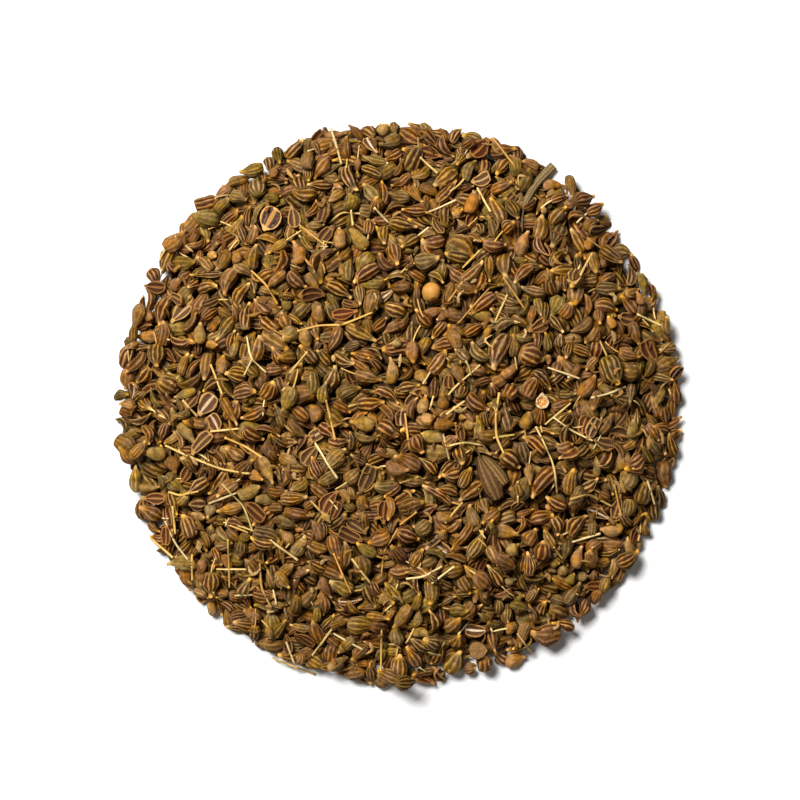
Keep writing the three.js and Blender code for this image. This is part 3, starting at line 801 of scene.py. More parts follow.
# Each line: kind, place, length and width in pixels of the photo, the way the neck points in
# degrees, and tone, hue and clearness of ribs in hundredths
NOTED = """
half 469 490 30 15 219 75 45 80
half 437 491 35 10 147 70 20 90
half 428 463 24 13 140 75 70 100
half 510 458 25 18 320 80 60 100
smooth 504 529 26 15 350 85 40 10
whole 529 534 19 17 60 75 30 50
half 462 535 34 11 232 65 35 60
half 503 516 20 13 200 60 95 60
whole 476 541 30 16 65 80 75 70
whole 417 444 20 18 300 75 12 80
half 451 474 20 16 190 65 35 80
half 457 454 20 13 285 70 60 80
half 531 444 28 15 142 80 40 100
half 539 481 37 17 232 75 15 80
half 409 533 26 16 340 85 10 100
whole 424 524 20 16 40 60 70 50
half 454 524 19 11 40 70 30 60
smooth 526 473 26 10 270 60 50 30
face 210 405 26 19 232 90 100 50
whole 172 386 23 20 330 70 50 70
whole 148 405 20 14 320 60 55 60
face 219 423 20 15 300 90 60 50
half 232 411 35 11 300 70 45 40
half 256 416 30 13 200 65 35 80
half 256 436 26 15 330 70 10 90
smooth 191 434 29 12 310 70 92 10
smooth 157 453 25 14 180 55 90 20
edge 152 434 21 8 285 80 30 60
half 165 433 22 11 250 70 20 80
smooth 176 464 19 14 290 25 15 20
face 188 474 20 11 240 75 30 50
half 201 485 24 15 215 80 60 100
half 221 483 32 14 232 55 60 90
half 199 504 19 15 180 70 100 90
smooth 270 469 30 13 295 80 60 20
smooth 260 475 22 11 335 85 30 10
smooth 253 490 24 13 25 65 75 30
face 155 498 23 12 180 75 40 50
smooth 150 487 26 10 0 50 60 20
half 238 452 22 14 150 70 45 40
half 153 512 28 16 150 80 30 50
whole 273 390 20 17 60 60 30 80
half 320 170 25 15 235 90 30 40
half 300 183 20 13 100 70 60 100
half 321 187 26 11 180 70 97 90
edge 309 199 30 10 0 70 50 60
half 350 181 30 13 295 80 100 90
half 370 172 29 11 155 70 90 100
half 370 195 28 15 130 75 80 30
half 385 195 28 11 95 70 8 70
half 375 162 26 10 165 60 80 30
whole 352 205 18 16 90 55 80 10
face 295 220 24 13 100 75 90 80
edge 316 212 26 7 60 75 10 70
smooth 300 255 30 13 108 100 18 0
smooth 341 241 24 13 95 60 45 10
smooth 359 242 26 14 130 60 70 20
half 351 270 29 12 85 75 80 50
half 367 277 31 15 215 85 10 100
half 270 276 24 13 30 65 35 70
edge 286 262 28 11 80 60 15 80
half 257 259 26 14 80 60 60 40
edge 316 266 24 8 255 75 30 60
edge 269 240 26 9 165 65 50 30
edge 262 176 24 7 135 80 30 50
whole 258 189 24 17 100 65 85 70
half 270 165 17 12 280 55 100 80
whole 367 214 15 15 0 60 90 50
half 384 238 20 12 270 65 70 60
half 299 284 24 15 320 45 20 60
half 393 158 22 12 205 60 15 90
half 444 180 31 17 215 70 60 60
half 448 195 34 12 50 70 35 80
half 422 176 25 11 212 70 60 30
half 413 215 28 12 175 80 15 90
half 404 227 29 15 350 75 75 90
half 410 244 22 13 215 65 90 70
half 434 245 26 15 190 65 10 60
whole 395 258 24 15 285 75 30 70
smooth 471 205 24 13 75 95 15 0
face 480 182 20 13 200 85 90 50
half 496 212 30 15 115 90 50 60
half 500 188 25 12 25 75 25 40
half 485 165 20 13 90 65 20 80
half 469 171 25 12 62 65 80 20
half 503 168 22 13 232 70 35 70
edge 463 248 32 14 330 95 50 50
half 494 249 26 14 0 80 15 50
half 502 267 26 17 270 65 50 50
half 470 274 32 13 45 90 50 70
whole 427 264 26 17 10 45 90 40
edge 397 279 29 9 180 80 90 50
edge 473 240 17 7 340 75 30 50
whole 507 229 15 14 40 70 30 90
edge 437 279 18 8 330 85 80 50
half 478 230 17 11 115 60 90 90
bit 457 215 12 10 30 100 50 50
half 540 229 27 15 80 85 50 50
half 555 216 24 14 50 70 60 70
smooth 521 246 28 14 70 90 25 10
face 538 250 24 11 300 90 30 50
half 576 241 27 13 120 80 60 60
half 561 272 28 13 185 70 60 60
half 529 292 27 12 165 80 100 50
half 573 296 25 17 270 80 50 40
half 605 306 26 15 345 75 30 70
half 627 306 26 15 135 75 12 60
smooth 589 244 25 10 50 80 18 10
edge 604 238 24 9 50 70 15 40
edge 613 241 24 8 50 70 8 40
half 622 251 23 15 350 60 90 50
edge 576 217 22 10 0 60 15 70
whole 594 210 20 14 30 70 30 100
half 606 277 22 11 30 60 10 50
face 629 276 25 11 90 85 70 50
smooth 553 186 22 11 0 90 20 10
half 559 199 20 9 20 75 5 90
whole 564 312 18 14 60 80 0 50
half 520 276 27 12 225 75 12 60
smooth 642 286 26 10 280 60 85 20
smooth 599 262 18 12 90 45 20 20
half 206 263 28 12 138 85 50 40
half 209 289 27 12 12 75 60 70
half 231 283 30 16 250 60 35 30
half 244 294 26 13 55 70 55 70
half 249 316 32 12 82 75 100 90
half 163 311 32 15 252 65 30 80
face 183 315 26 17 225 85 100 50
face 179 299 20 12 150 70 80 50
edge 185 344 27 9 350 85 30 90
smooth 203 334 23 12 90 70 65 10
half 227 329 30 13 232 75 85 60
half 235 340 21 11 75 80 20 90
whole 159 356 24 18 270 60 90 80
half 145 378 24 15 225 85 40 90
whole 239 375 22 17 170 65 60 90
half 269 325 27 14 140 70 35 80
half 262 349 26 15 80 70 45 60
half 209 367 28 13 262 65 50 40
smooth 178 285 17 12 60 60 20 10
half 155 276 17 13 300 65 30 80
edge 152 300 24 8 270 80 30 50
half 173 270 16 11 305 75 25 80
smooth 148 337 24 13 180 70 30 30
smooth 216 346 18 9 0 70 40 20
smooth 226 365 19 11 80 65 35 20
half 208 276 36 9 180 60 90 80
smooth 240 259 18 11 90 85 35 10
edge 264 310 22 9 140 75 12 60
bit 215 257 12 9 340 100 50 30
half 362 335 35 13 333 80 65 40
half 336 343 31 12 240 75 20 60
half 316 330 25 13 285 70 50 50
half 393 312 26 15 160 90 60 80
half 421 320 23 14 130 75 12 100
bit 397 344 10 9 90 75 85 20
half 424 348 20 12 250 70 60 30
smooth 392 371 27 13 92 80 60 10
half 360 366 23 10 145 75 30 50
half 376 365 22 10 135 60 20 90
half 369 378 28 13 345 50 35 40
half 335 378 24 17 75 80 90 80
half 316 380 28 12 95 65 80 50
smooth 422 378 16 14 300 65 50 10
half 409 387 22 12 10 75 90 90
edge 389 394 28 9 330 85 30 90
half 371 403 29 15 5 75 35 80
smooth 423 404 21 12 75 80 55 10
edge 411 407 22 8 75 60 20 50
smooth 363 423 25 15 170 80 65 20
half 389 428 24 17 330 80 30 80
half 329 430 22 14 320 80 15 100
half 423 423 20 13 330 90 50 30
smooth 317 412 18 14 110 60 30 20
half 344 407 20 11 330 60 10 50
half 381 325 20 12 45 60 15 90
half 411 334 25 12 85 50 100 70
half 475 405 28 16 325 80 25 80
half 508 389 20 15 60 70 12 80
whole 528 387 24 16 60 80 12 70
half 504 416 30 13 100 60 100 60
smooth 524 420 18 13 75 50 50 20
half 538 416 22 11 90 60 10 80
smooth 444 424 24 13 5 65 20 20
bit 428 418 16 13 20 100 40 30
bit 461 417 8 7 0 100 50 20
smooth 468 425 13 9 20 85 60 10
smooth 442 401 16 12 90 55 30 10
half 493 573 27 13 125 80 70 100
whole 431 589 25 15 270 75 70 40
half 464 583 20 13 300 55 50 60
edge 500 592 24 9 195 60 12 50
smooth 517 594 13 11 0 70 90 20
half 458 606 20 13 0 65 80 40
half 498 607 20 10 270 80 95 60
half 508 611 20 9 270 80 90 60
edge 434 616 22 11 100 80 60 80
smooth 482 615 16 8 135 75 85 30
half 452 623 26 16 35 60 45 50
face 476 628 24 13 0 100 60 60
smooth 419 630 20 10 180 70 70 20
half 455 639 20 16 60 70 50 50
half 418 643 28 14 145 95 90 100
half 436 656 26 12 245 95 40 100
half 454 661 28 20 60 75 75 50
half 413 654 26 14 120 60 30 60
half 484 663 22 15 90 75 30 60
smooth 515 659 22 15 20 100 30 20
half 500 657 16 12 140 70 100 80
whole 527 561 25 13 95 95 35 100
smooth 511 626 14 13 0 80 30 20
smooth 452 338 27 14 115 85 30 30
half 474 331 24 12 30 65 20 80
smooth 485 336 18 7 250 95 40 10
edge 503 324 24 10 20 100 90 60
half 497 352 40 20 250 75 100 80
whole 529 357 26 22 340 70 30 100
half 553 326 22 11 310 80 80 100
half 544 343 20 10 100 60 80 60
half 556 342 14 10 90 70 100 60
half 437 362 28 14 55 90 40 70
half 458 356 20 12 135 70 90 60
edge 474 354 26 10 130 70 85 60
smooth 508 371 22 10 40 80 15 10
half 563 448 18 14 20 70 30 50
half 561 418 20 12 50 90 90 100
face 447 382 16 12 90 60 40 40
half 492 391 18 11 110 50 15 70
half 553 370 16 12 250 55 10 50
edge 565 455 22 9 200 80 30 70
whole 567 480 28 15 80 65 50 50
edge 588 485 22 10 35 90 70 100
edge 605 459 24 10 60 100 60 100
half 514 486 16 11 95 50 50 50
half 552 502 24 14 150 85 30 100
half 603 496 16 9 320 70 5 50
half 523 510 18 8 20 75 8 40
half 539 514 24 14 15 85 20 70
half 555 524 20 13 285 85 60 100
half 574 521 29 16 45 80 45 100
face 596 512 26 10 335 100 70 60
half 546 536 20 10 120 75 60 50
half 541 548 20 17 80 60 10 80
bit 511 546 16 13 40 100 90 20
smooth 576 555 24 13 75 85 25 20
smooth 609 529 24 12 180 100 50 20
half 608 552 22 10 10 85 95 80
smooth 562 569 11 11 0 70 90 10
smooth 582 575 10 10 0 75 90 10
half 594 575 16 11 90 75 20 50
smooth 569 577 13 10 45 90 80 10
smooth 509 578 12 9 20 70 90 10
half 560 583 28 10 150 70 30 60
bit 553 561 10 9 0 85 70 20
half 341 293 29 15 330 95 60 100
half 287 321 20 15 110 65 35 50
smooth 292 337 20 16 215 75 95 30
half 279 357 20 14 120 55 30 60
half 279 371 22 12 10 70 10 60
half 297 373 24 14 60 65 65 50
half 306 312 20 14 45 55 90 50
smooth 321 316 17 13 90 55 40 10
"""

for line in NOTED.split("\n")[1:-1]:
    kind, *numbers = line.split()
    x, y, length, width, degrees, tone, hue, clear = map(float, numbers)
    size = np.array([length, width, width * np.mean(THICKNESSES[kind])]) * PIXEL
    fruit = settle(kind, *from_photo((x, y)), size, np.radians([degrees]), NOTED_WOBBLE)
    fruit["tint"] = np.array([tone, hue, clear, 100]) / 100
    lay(fruit, keep=NOTED_KEEP)
fill(UPPER_FRUITS)
fill(RIM_FRUITS, inner=HEAP_RADIUS - RIM_BAND, looks=RIM_LOOKS)

visible = np.bincount(owner[owner >= 0], minlength=len(fruits))
for number, fruit in enumerate(fruits):
    fruit["shown"] = visible[number] / fruit["cells"]

# ----------------------------------------------------------
# Whole fruits: both halves of the dried fruit still together, egg-shaped, with five pale ribs on
# each half, a neck and a small golden knob where the flower sat. They lie loose.
# ----------------------------------------------------------
OUTLINE = [(0, 0), (0.03, 0.44), (0.12, 0.80), (0.28, 0.99), (0.47, 1.0), (0.64, 0.84),
           (0.77, 0.58), (0.86, 0.33), (0.92, 0.26), (0.965, 0.28), (1, 0)]
LONG_NECKED = [(0, 0.6), (0.1, 0.72), (0.3, 1.0), (0.5, 0.9), (0.65, 0.6), (0.78, 0.36), (0.86, 0.27),
               (0.92, 0.25), (1, 0.25)]
BLUNT = [(0, 0.85), (0.1, 0.92), (0.3, 1.0), (0.6, 0.96), (0.78, 0.76), (0.86, 0.5), (0.92, 0.3), (1, 0.28)]
RIBBED = [0, 0.15, 0.75, 0.9], [0.2, 1, 0.8, 0]  # how strong the ribs are along a fruit
WHOLE_RIBS = 10
WHOLE_SIDES = 20
SHOWS = 0.22  # least share of a fruit in sight for it to be shown in full
LUMPINESS = 0.08
OUTLINE_VARIES = 0.9  # how far outlines go towards a long neck or a blunt end


def seen(kind):
    """The fruits of a kind that aren't mostly hidden."""
    return [fruit for fruit in fruits if fruit["shown"] > SHOWS and fruit["kind"] == kind]


def strew(name, shape, chosen, bend=0.06, roll=0.0, spin=0.0):
    """Joins one shape at every chosen fruit's place, each bent, tapered and turned its own way."""
    count = len(chosen)
    points = np.repeat(shape["points"][None], count, 0)
    along, side, back = points[..., 0], points[..., 1], points[..., 2]
    spins = spin * draw.choice([-1, 1], (count, 1)) + roll * draw.uniform(-1, 1, (count, 1))
    side, back = side * np.cos(spins) - back * np.sin(spins), side * np.sin(spins) + back * np.cos(spins)
    place = along + 0.5
    usual = np.maximum(0.1, np.interp(place, *np.transpose(OUTLINE[1:-1])))
    necked, blunt = np.interp(place, *np.transpose(LONG_NECKED)), np.interp(place, *np.transpose(BLUNT))
    bluntness = draw.uniform(-OUTLINE_VARIES, OUTLINE_VARIES, (count, 1))
    outline = 1 + np.maximum(0, bluntness) * (blunt / usual - 1)
    outline = outline + np.maximum(0, -bluntness) * (necked / usual - 1)
    ends = np.clip(3.2 * np.minimum(place + 0.12, 1.2 - place), 0, 1)
    lumps = 1 + LUMPINESS * ends * (
        np.sin(draw.uniform(0, 6.3, (count, 1)) + 9 * along + 5 * side)
        + np.sin(draw.uniform(0, 6.3, (count, 1)) + 6 * back - 7 * along)
    )
    size = np.array([fruit["size"] for fruit in chosen])
    length, width, height = size[:, 0:1], size[:, 1:2], size[:, 2:3]
    if spin:
        curve = np.sign(spins) * draw.uniform(0.3, 1.3, (count, 1)) * bend
    else:
        curve = draw.normal(0, bend, (count, 1))
    sag = draw.normal(0, 0.5 * bend, (count, 1))
    girth = outline * lumps
    points = np.stack([
        along * length,
        side * width * girth + curve * (4 * along ** 2 - 0.4) * length,
        back * height * girth + sag * (4 * along ** 2 - 0.4) * length,
    ], -1)
    turning = np.array([fruit["turning"] for fruit in chosen])
    middle = np.array([fruit["place"] for fruit in chosen])
    points = np.einsum("kij,knj->kni", turning, points) + middle[:, None]
    points[..., 2] += np.maximum(0, FLOOR_GAP - points[..., 2].min(1))[:, None]
    each = len(shape["points"])
    triangles = shape["triangles"][None] + each * np.arange(count)[:, None, None]
    across = math.ceil(math.sqrt(count))
    bake = in_cell(np.arange(count)[:, None, None], across, shape["cells"][None])
    tints = np.repeat(np.array([fruit["tint"] for fruit in chosen])[:, None], each, 1)
    layers = {"OFBake": bake.reshape(-1, 2), "Marks": np.tile(shape["marks"].reshape(-1, 2), (count, 1))}
    tints = tints.reshape(-1, 4)
    return make_mesh(name, points.reshape(-1, 3), triangles.reshape(-1, 3), layers, tints)


def fruit_skin(name, clear=(0.3, 0.92), light=0.62, fade=None):
    """The dry skin: pale ribs, dark furrows between them, a golden neck, and each fruit's own tone.

    clear is how clearly the ribs show on the faintest and on the strongest fruit, and fade the
    mark round which they are clearest, with the distances and strengths between which they fade.
    light scales how light the skin is; the covered fruits get a low light, which paints their shade.
    """
    recipe = Recipe(name)
    around, along = recipe.marks()
    tone, hue, wear = recipe.tints()
    coarse = recipe.noise(0.7, 2)
    fine = recipe.noise(1.25, 2.5)
    wave = around + (coarse - 0.5) * 0.55 + (fine - 0.5) * 0.12
    rib = (0.5 + 0.5 * (wave * (2 * math.pi)).cosine()) ** 2.1
    contrast = recipe.ramp(wear, 0.0, 1.0, *clear) * recipe.ramp(along, 0.88, 0.7)
    contrast = contrast * recipe.ramp(along, 0.0, 0.14, 0.3)
    if fade:
        contrast = contrast * recipe.ramp(abs(around - fade[0]), *fade[1:])
    body = recipe.scale_of_colours(hue, [
        (0.0, shade(122, 50, 17)), (0.12, shade(143, 72, 28)), (0.32, shade(155, 93, 41)),
        (0.60, shade(157, 108, 44)), (0.74, shade(148, 109, 40)), (0.82, shade(124, 98, 31)),
        (0.88, shade(134, 102, 46)), (1.0, shade(140, 102, 66)),
    ])
    ridge = recipe.scale_colour(recipe.mix(0.34, body, shade(230, 196, 122)), 1.40)
    furrow = recipe.mix(contrast, recipe.scale_colour(body, 0.8), shade(84, 36, 13))
    skin = recipe.mix(0.5 + (rib - 0.5) * contrast, furrow, ridge)
    knob = recipe.ramp(along, 0.80, 0.92)
    gold = knob * recipe.ramp(wear, 0.05, 0.8, 0.3, 0.85)
    skin = recipe.mix(gold, skin, shade(228, 172, 92))
    # light scales the lightness; its low value for the covered fruits is painted shade
    level = recipe.ramp(tone, 0.0, 1.0, 0.6 * light, 1.1 * light)
    level = level * recipe.ramp(fine, 0.25, 0.75, 0.66, 1.30)
    level = level * recipe.ramp(coarse, 0.3, 0.7, 0.72, 1.25)
    dust = recipe.ramp(recipe.noise(0.45, 2), 0.35, 0.65, 1.10, 0.94)
    skin = recipe.add("ShaderNodeHueSaturation", None, {"Color": skin, "Saturation": dust})
    colour = recipe.scale_colour(skin, level * (1 + gold * 0.75))
    return recipe.finish(colour, 0.5 + 0.3 * fine, rib * contrast * 0.6 + fine * 0.4, 0.18)


def whole_section(half, place):
    """A round ring with ten ribs and a seam on each side."""
    turn = np.arange(WHOLE_SIDES) * 2 * math.pi / WHOLE_SIDES
    ribbed = np.interp(place, *RIBBED)
    rib = 1 - 0.07 * ribbed * np.cos(WHOLE_RIBS * turn) - 0.09 * ribbed * (np.abs(np.sin(turn)) < 0.01)
    return 0.5 * half * np.stack([rib * np.cos(turn), rib * np.sin(turn)], -1)


whole_marks = [WHOLE_RIBS * side / WHOLE_SIDES + 0.5 for side in range(WHOLE_SIDES + 1)]
whole_shape = loft(OUTLINE, whole_section, list(zip(whole_marks, whole_marks[1:])))
whole_fruits = strew("whole_fruits", whole_shape, seen("whole"), roll=math.pi)
put_in_heap(whole_fruits, fruit_skin("skin of whole fruits", (0.4, 0.95)))

# ----------------------------------------------------------
# Half fruits: the fruit splits along its length as it dries. Each half has five ribs on a
# rounded back, which lies up, and a flat face, which lies down.
# ----------------------------------------------------------
HALF_BACK = 8


def half_section(half, place):
    """A ribbed back over a face that is nearly flat."""
    turn = np.arange(HALF_BACK + 1) * math.pi / HALF_BACK
    ribbed = np.interp(place, *RIBBED)
    rib = 1 + 0.07 * ribbed * np.cos(8 * turn)
    back = np.stack([0.5 * half * rib * np.cos(turn), 0.9 * half * rib * np.sin(turn) - 0.42], -1)
    return np.concatenate([back, [[0, -0.42 + 0.1 * half]]])


half_spans = [(4 * side / HALF_BACK, 4 * (side + 1) / HALF_BACK) for side in range(HALF_BACK)]
half_shape = loft(OUTLINE, half_section, half_spans + [(4, 4.5), (4.5, 5)])
half_fruits = strew("half_fruits", half_shape, seen("half"))
put_in_heap(half_fruits, fruit_skin("skin of half fruits", (0.45, 1.0), fade=(2.0, 2.1, 1.3, 0.4, 1.0)))

# ----------------------------------------------------------
# Half fruits on edge: the same halves lying on one side, so they look slim and curved like a
# new moon, with the ribs of the back along the outer curve.
# ----------------------------------------------------------
edge_fruits = strew("halves_on_edge", half_shape, seen("edge"), bend=0.10, spin=math.pi / 2, roll=0.35)
put_in_heap(edge_fruits, fruit_skin("skin of halves on edge", (0.5, 1.0)))

# ----------------------------------------------------------
# Upturned halves: the flat face lies up, a shallow trough with a pale rim and a pale seam along
# its middle, where the thread that joined both halves ran. On the brightest halves the seam goes
# near white: its pale colour with a painted glint on it.
# ----------------------------------------------------------
FACE_SIDES = 8
FACE_DIPS = [0, 0.25, 0.5, 0.75, 1], [0.2, 1, 1, 0.35, 0]


def upturned_section(half, place):
    """A shallow trough on each side of the seam."""
    hollow = 0.3 * half * np.interp(place, [0, 0.1, 0.7, 0.85], [0, 1, 1, 0])
    return face_up(half, 0.9, hollow, FACE_SIDES, FACE_DIPS)


upturned_shape = loft(OUTLINE, upturned_section, face_up_spans(FACE_SIDES))
upturned = strew("upturned_halves", upturned_shape, seen("face"))
recipe = Recipe("skin of upturned halves")
around, along = recipe.marks()
tone, hue, _ = recipe.tints()
fine = recipe.noise(3.2, 3, roughness=0.65)
off_middle = abs(around - 0.5) + (fine - 0.5) * 0.06
rim = recipe.ramp(off_middle, 0.34, 0.44) + recipe.ramp(along, 0.78, 0.86) + recipe.ramp(along, 0.10, 0.04)
seam = recipe.ramp(off_middle, 0.12, 0.05) * 0.8
trough = recipe.mix(hue, shade(84, 40, 16), shade(98, 68, 44))
pale = recipe.mix(hue, shade(166, 108, 50), shade(192, 146, 82))
colour = recipe.mix(recipe.ramp(rim + seam, 0.0, 1.0), trough, pale)
# Near-white seam on the brightest halves: the seam's pale colour with a painted glint.
colour = recipe.mix(seam * recipe.ramp(tone, 0.8, 1.0), colour, shade(240, 220, 190))
level = recipe.ramp(tone, 0.0, 1.0, 0.5, 0.9) * recipe.ramp(fine, 0.15, 0.85, 0.65, 1.25)
put_in_heap(upturned, recipe.finish(recipe.scale_colour(colour, level), 0.6 + 0.2 * fine, fine, 0.12))

# ----------------------------------------------------------
# Smooth fruits: unripe or swollen ones, whose ribs hardly show, orange-tan to olive.
# ----------------------------------------------------------
smooth_fruits = strew("smooth_fruits", whole_shape, seen("smooth"), roll=math.pi)
put_in_heap(smooth_fruits, fruit_skin("skin of smooth fruits", (0.12, 0.5), light=0.67))

# ----------------------------------------------------------
# Broken bits: ends and flakes of fruits, much smaller than the rest.
# ----------------------------------------------------------
bits = strew("broken_bits", whole_shape, seen("bit"), roll=math.pi)
put_in_heap(bits, fruit_skin("skin of broken bits", (0.0, 0.6), light=0.84))

# ----------------------------------------------------------
# Covered fruits: those that lie mostly hidden under the others, in their shade. They are plain
# lumps, whose ribs are only in the colour. Their skin is darkened to less than half of the
# others': painted shade.
# ----------------------------------------------------------
PLAIN_SIDES = 10
PLAIN_OUTLINE = [(0, 0), (0.1, 0.72), (0.36, 1), (0.66, 0.72), (0.88, 0.25), (1, 0)]


def plain_section(half, place):
    """A round ring without ribs."""
    turn = np.arange(PLAIN_SIDES) * 2 * math.pi / PLAIN_SIDES
    return 0.5 * half * np.stack([np.cos(turn), np.sin(turn)], -1)


plain_shape = loft(PLAIN_OUTLINE, plain_section, [(side, side + 1) for side in range(PLAIN_SIDES)])
covered = strew("covered_fruits", plain_shape, [f for f in fruits if f["shown"] <= SHOWS], roll=math.pi)
# light=0.26 darkens the covered fruits' skin: painted shade
put_in_heap(covered, fruit_skin("skin of covered fruits in painted shade", (0.2, 0.5), light=0.26))

# ----------------------------------------------------------
# Chaff: slivers of broken fruit walls and ribs, thin, bent and ragged, brown to cream. They have
# slipped into the gaps between the top fruits and lie loose there.
# ----------------------------------------------------------
CHAFF = 420
CHAFF_LENGTH = (0.9, 2.6)
CHAFF_HALF_WIDTH = (0.16, 0.42)
CHAFF_INSET = 1.6  # from the rim

skins, tints = [], []
while len(skins) < CHAFF:
    x, y = draw.uniform(-1, 1, 2) * HEAP_RADIUS
    if np.hypot(x, y) > HEAP_RADIUS - CHAFF_INSET or kept[at_cell(y), at_cell(x)]:
        continue
    far, turn, bow = draw.uniform(*CHAFF_LENGTH), draw.uniform(0, 2 * math.pi), draw.normal(0, 0.35)
    ahead = np.array([math.cos(turn), math.sin(turn)])
    aside = np.array([-ahead[1], ahead[0]]) * bow * far
    path = [[x, y] - ahead * far / 2, [x, y] + aside, [x, y] + ahead * far / 2]
    line = drape(path, sink=0.06, smooth=3)
    widths = draw.uniform(*CHAFF_HALF_WIDTH)
    widths = widths * np.sin(np.linspace(0.35, math.pi - 0.25, len(line))) ** 0.7
    widths *= 1 + 0.25 * draw.normal(size=len(line))
    skins.append(thread(line, np.maximum(0.05, widths), sides=6, flat=draw.uniform(0.25, 0.6)))
    tints.append((*draw.uniform(0, 1, 3), 1))
chaff = join("chaff", skins, tints)
recipe = Recipe("chaff")
tone, hue, _ = recipe.tints()
fine = recipe.noise(3.0, 4, roughness=0.65)
colour = recipe.scale_of_colours(hue, [
    (0.0, shade(100, 62, 30)), (0.35, shade(136, 92, 42)), (0.7, shade(168, 122, 60)),
    (1.0, shade(212, 172, 112)),
])
level = recipe.ramp(tone, 0.0, 1.0, 0.45, 1.0) * recipe.ramp(fine, 0.2, 0.8, 0.6, 1.25)
put_in_heap(chaff, recipe.finish(recipe.scale_colour(colour, level), 0.6 + 0.2 * fine, fine, 0.12))

# ----------------------------------------------------------
# Stalks: thin dry stems of the flower heads, straw yellow to cream, lying across the top fruits
# and bending a little over them, and short ones that are still on their fruits. Two of the long
# ones are frayed at one end.
# ----------------------------------------------------------
STALK_RADIUS = 0.19
STALKS = [
    [(331, 129), (337, 148), (342, 166)], [(301, 228), (327, 249)],
    [(254, 273), (269, 287), (280, 306)], [(300, 333), (322, 327), (343, 327), (373, 315)],
    [(250, 338), (255, 360), (269, 373)], [(248, 376), (256, 360)], [(292, 374), (310, 353)],
    [(214, 365), (226, 395)], [(375, 212), (389, 226)], [(330, 226), (343, 215), (363, 217)],
    [(420, 160), (437, 176)], [(492, 139), (516, 171)], [(476, 191), (489, 215)],
    [(426, 217), (455, 203)], [(590, 255), (573, 284)], [(501, 280), (522, 311)],
    [(505, 297), (493, 323)], [(478, 254), (461, 271)], [(461, 285), (447, 304)],
    [(487, 291), (456, 326)], [(447, 395), (455, 386), (478, 366)], [(541, 367), (576, 379)],
    [(635, 315), (659, 326)], [(587, 398), (604, 394), (622, 387)], [(187, 400), (201, 416)],
    [(154, 409), (168, 418)], [(214, 431), (243, 428)], [(228, 437), (247, 445), (265, 456)],
    [(168, 445), (196, 457), (225, 468), (253, 472)], [(171, 491), (184, 495), (193, 491)],
    [(226, 482), (247, 505), (255, 528)], [(212, 502), (240, 491)],
    [(167, 520), (178, 544), (190, 558)], [(175, 505), (177, 533)], [(194, 553), (194, 579)],
    [(231, 537), (231, 586)], [(218, 568), (248, 567)], [(262, 561), (263, 585), (273, 605)],
    [(273, 537), (300, 557)], [(233, 523), (251, 530)], [(317, 442), (339, 476)],
    [(313, 499), (330, 516)], [(335, 550), (352, 589)], [(353, 555), (371, 579)],
    [(398, 526), (384, 548), (382, 570)], [(333, 626), (309, 659)], [(334, 631), (363, 647)],
    [(287, 640), (295, 661)], [(273, 657), (315, 674)], [(152, 538), (175, 556)],
    [(328, 400), (337, 439)], [(405, 413), (408, 439)], [(445, 414), (463, 401)],
    [(442, 433), (448, 458)], [(446, 445), (462, 441), (479, 444)],
    [(497, 393), (493, 415), (494, 436), (501, 452)], [(491, 437), (512, 434)],
    [(533, 426), (549, 460), (554, 491)], [(542, 424), (567, 403)],
    [(550, 417), (568, 430), (589, 440)], [(566, 497), (583, 492), (596, 498), (609, 505)],
    [(612, 483), (619, 515)], [(461, 500), (444, 520)], [(400, 522), (416, 509)],
    [(406, 575), (422, 573), (441, 563)], [(431, 579), (453, 563)], [(400, 481), (418, 475)],
    [(516, 631), (532, 653)], [(458, 631), (470, 618)], [(570, 540), (598, 532)],
    [(645, 480), (653, 504)], [(382, 626), (381, 668)],
]
FRAYED = [(326, 250), (230, 521)]
FRAYED_THREADS = 9
STALKLETS = 130  # tried; those that would reach past the rim are left out
STALKLET_LENGTH = (1.0, 3.4)
STALKLET_SHOWS = 0.6  # least share in sight of a fruit that has one

skins = []
for spots in STALKS:
    line = drape(from_photo(spots))
    swell = 1 + 0.12 * np.sin(np.linspace(0, 9, len(line)) + draw.uniform(0, 6)) + draw.uniform(-0.1, 0.15)
    swell[[0, -1]] *= draw.uniform(0.8, 1.35, 2)
    skins.append(thread(line, STALK_RADIUS * swell))
topmost = [fruit for fruit in fruits
           if fruit["shown"] > STALKLET_SHOWS and fruit["kind"] in ("whole", "half", "smooth")]
for choice in draw.permutation(len(topmost))[:STALKLETS]:
    fruit = topmost[choice]
    ahead = fruit["turning"][:, 0]
    foot = np.array(fruit["place"]) - 0.47 * fruit["size"][0] * ahead
    far = draw.uniform(*STALKLET_LENGTH)
    way = -ahead[:2] / np.hypot(*ahead[:2])
    aside = np.array([-way[1], way[0]]) * draw.normal(0, 0.3) * far
    end = foot[:2] + way * far + aside
    if np.hypot(*end) > HEAP_RADIUS - 1:
        continue
    line = drape([foot[:2], foot[:2] + way * 0.5 * far + aside * 0.3, end], smooth=4)
    blend = np.linspace(0, 1, len(line)) ** 0.5
    line[:, 2] = foot[2] * (1 - blend) + line[:, 2] * blend
    skins.append(thread(line, STALK_RADIUS * draw.uniform(0.6, 1.0), sides=5))
for spot in FRAYED:
    x, y = from_photo(spot)
    for turn in draw.uniform(0, 2 * math.pi, FRAYED_THREADS):
        far = draw.uniform(0.5, 1.0)
        steps_out = np.linspace(0, far, 4)[:, None] * [math.cos(turn), math.sin(turn)] + [x, y]
        rise = float(mean_height(x, y)) + 0.35 + np.array([0, 0.15, 0.2, 0.05]) * draw.uniform(0.5, 1.5)
        skins.append(thread(np.column_stack([steps_out, rise]), [0.2, 0.17, 0.12, 0.06], sides=5))
stalks = join("stalks", skins)
recipe = Recipe("dry stalk")
tone, hue, _ = recipe.tints()
fine = recipe.noise(2.5, 3)
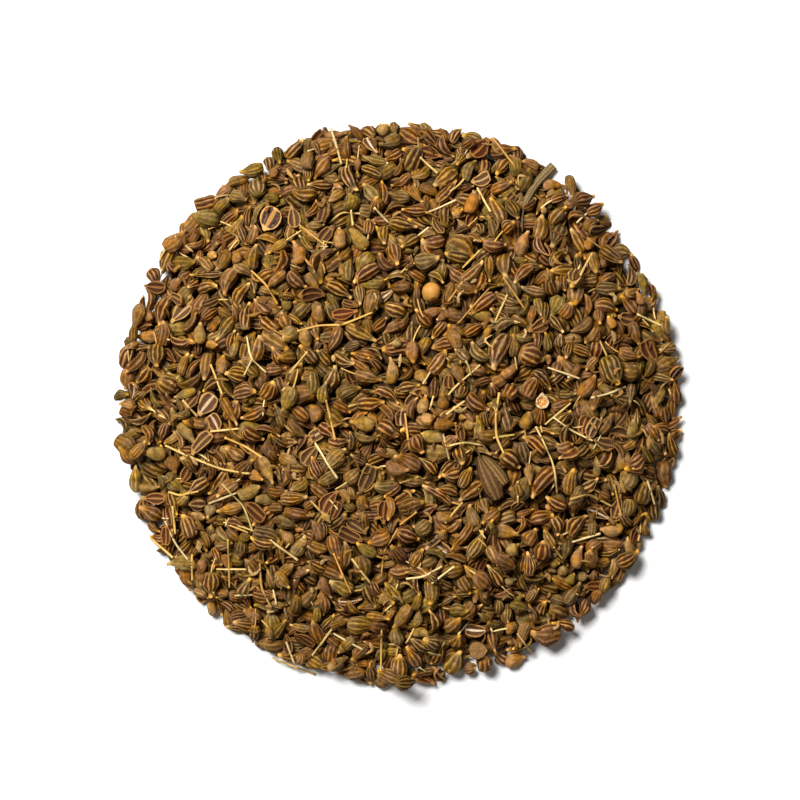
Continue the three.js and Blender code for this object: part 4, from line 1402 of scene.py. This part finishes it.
straw = recipe.scale_of_colours(hue, [
    (0.0, shade(198, 142, 62)), (0.2, shade(214, 168, 86)), (0.55, shade(224, 188, 112)),
    (0.92, shade(236, 210, 150)), (1.0, shade(188, 158, 70)),
])
level = recipe.ramp(tone, 0.0, 1.0, 0.72, 1.1) * recipe.ramp(fine, 0.2, 0.8, 0.8, 1.1)
straw = recipe.scale_colour(straw, level)
put_in_heap(stalks, recipe.finish(straw, 0.5 + 0.2 * fine, fine, 0.05, specular=0.2))

# ----------------------------------------------------------
# Floor, light and camera: a pale floor, the light from the upper left, and the view straight
# down that the photo has.
# ----------------------------------------------------------
FLOOR_REACH = 3
KEY_LIGHT = {"place": (-0.26, 0.29, 0.61), "size": 0.28, "watts": 9.6}
FILL_LIGHT = {"place": (0.3, -0.4, 0.7), "size": 0.8, "watts": 0.5}
SKY_STRENGTH = 0.06
LENS_LENGTH = 120

corners = [(x * FLOOR_REACH, y * FLOOR_REACH, 0) for x, y in ((-1, -1), (1, -1), (1, 1), (-1, 1))]
floor_mesh = bpy.data.meshes.new("floor")
floor_mesh.from_pydata(corners, [], [(0, 1, 2, 3)])
floor = bpy.data.objects.new("floor", floor_mesh)
bpy.context.scene.collection.objects.link(floor)
recipe = Recipe("pale floor")
floor.data.materials.append(recipe.finish(shade(243, 243, 241), 0.9, specular=0.1))


def area_light(name, place, size, watts):
    """A square lamp that points at the middle of the heap."""
    lamp = bpy.data.lights.new(name, "AREA")
    lamp.energy = watts
    lamp.size = size
    thing = bpy.data.objects.new(name, lamp)
    bpy.context.scene.collection.objects.link(thing)
    thing.location = place
    thing.rotation_euler = (-Vector(place)).to_track_quat("-Z", "Y").to_euler()


area_light("key", **KEY_LIGHT)
area_light("fill", **FILL_LIGHT)
world = bpy.data.worlds.new("studio")
world.use_nodes = True
sky = world.node_tree.nodes["Background"].inputs
sky["Color"].default_value = (1, 1, 1, 1)
sky["Strength"].default_value = SKY_STRENGTH
bpy.context.scene.world = world
bpy.context.scene.view_settings.view_transform = "Standard"

lens = bpy.data.cameras.new("camera")
lens.lens = LENS_LENGTH
camera = bpy.data.objects.new("camera", lens)
bpy.context.scene.collection.objects.link(camera)
camera.location = (
    (PHOTO_SIZE / 2 - PHOTO_MIDDLE[0]) * PIXEL * MM,
    (PHOTO_MIDDLE[1] - PHOTO_SIZE / 2) * PIXEL * MM,
    PHOTO_SIZE * PIXEL * MM * lens.lens / lens.sensor_width,
)
bpy.context.scene.camera = camera
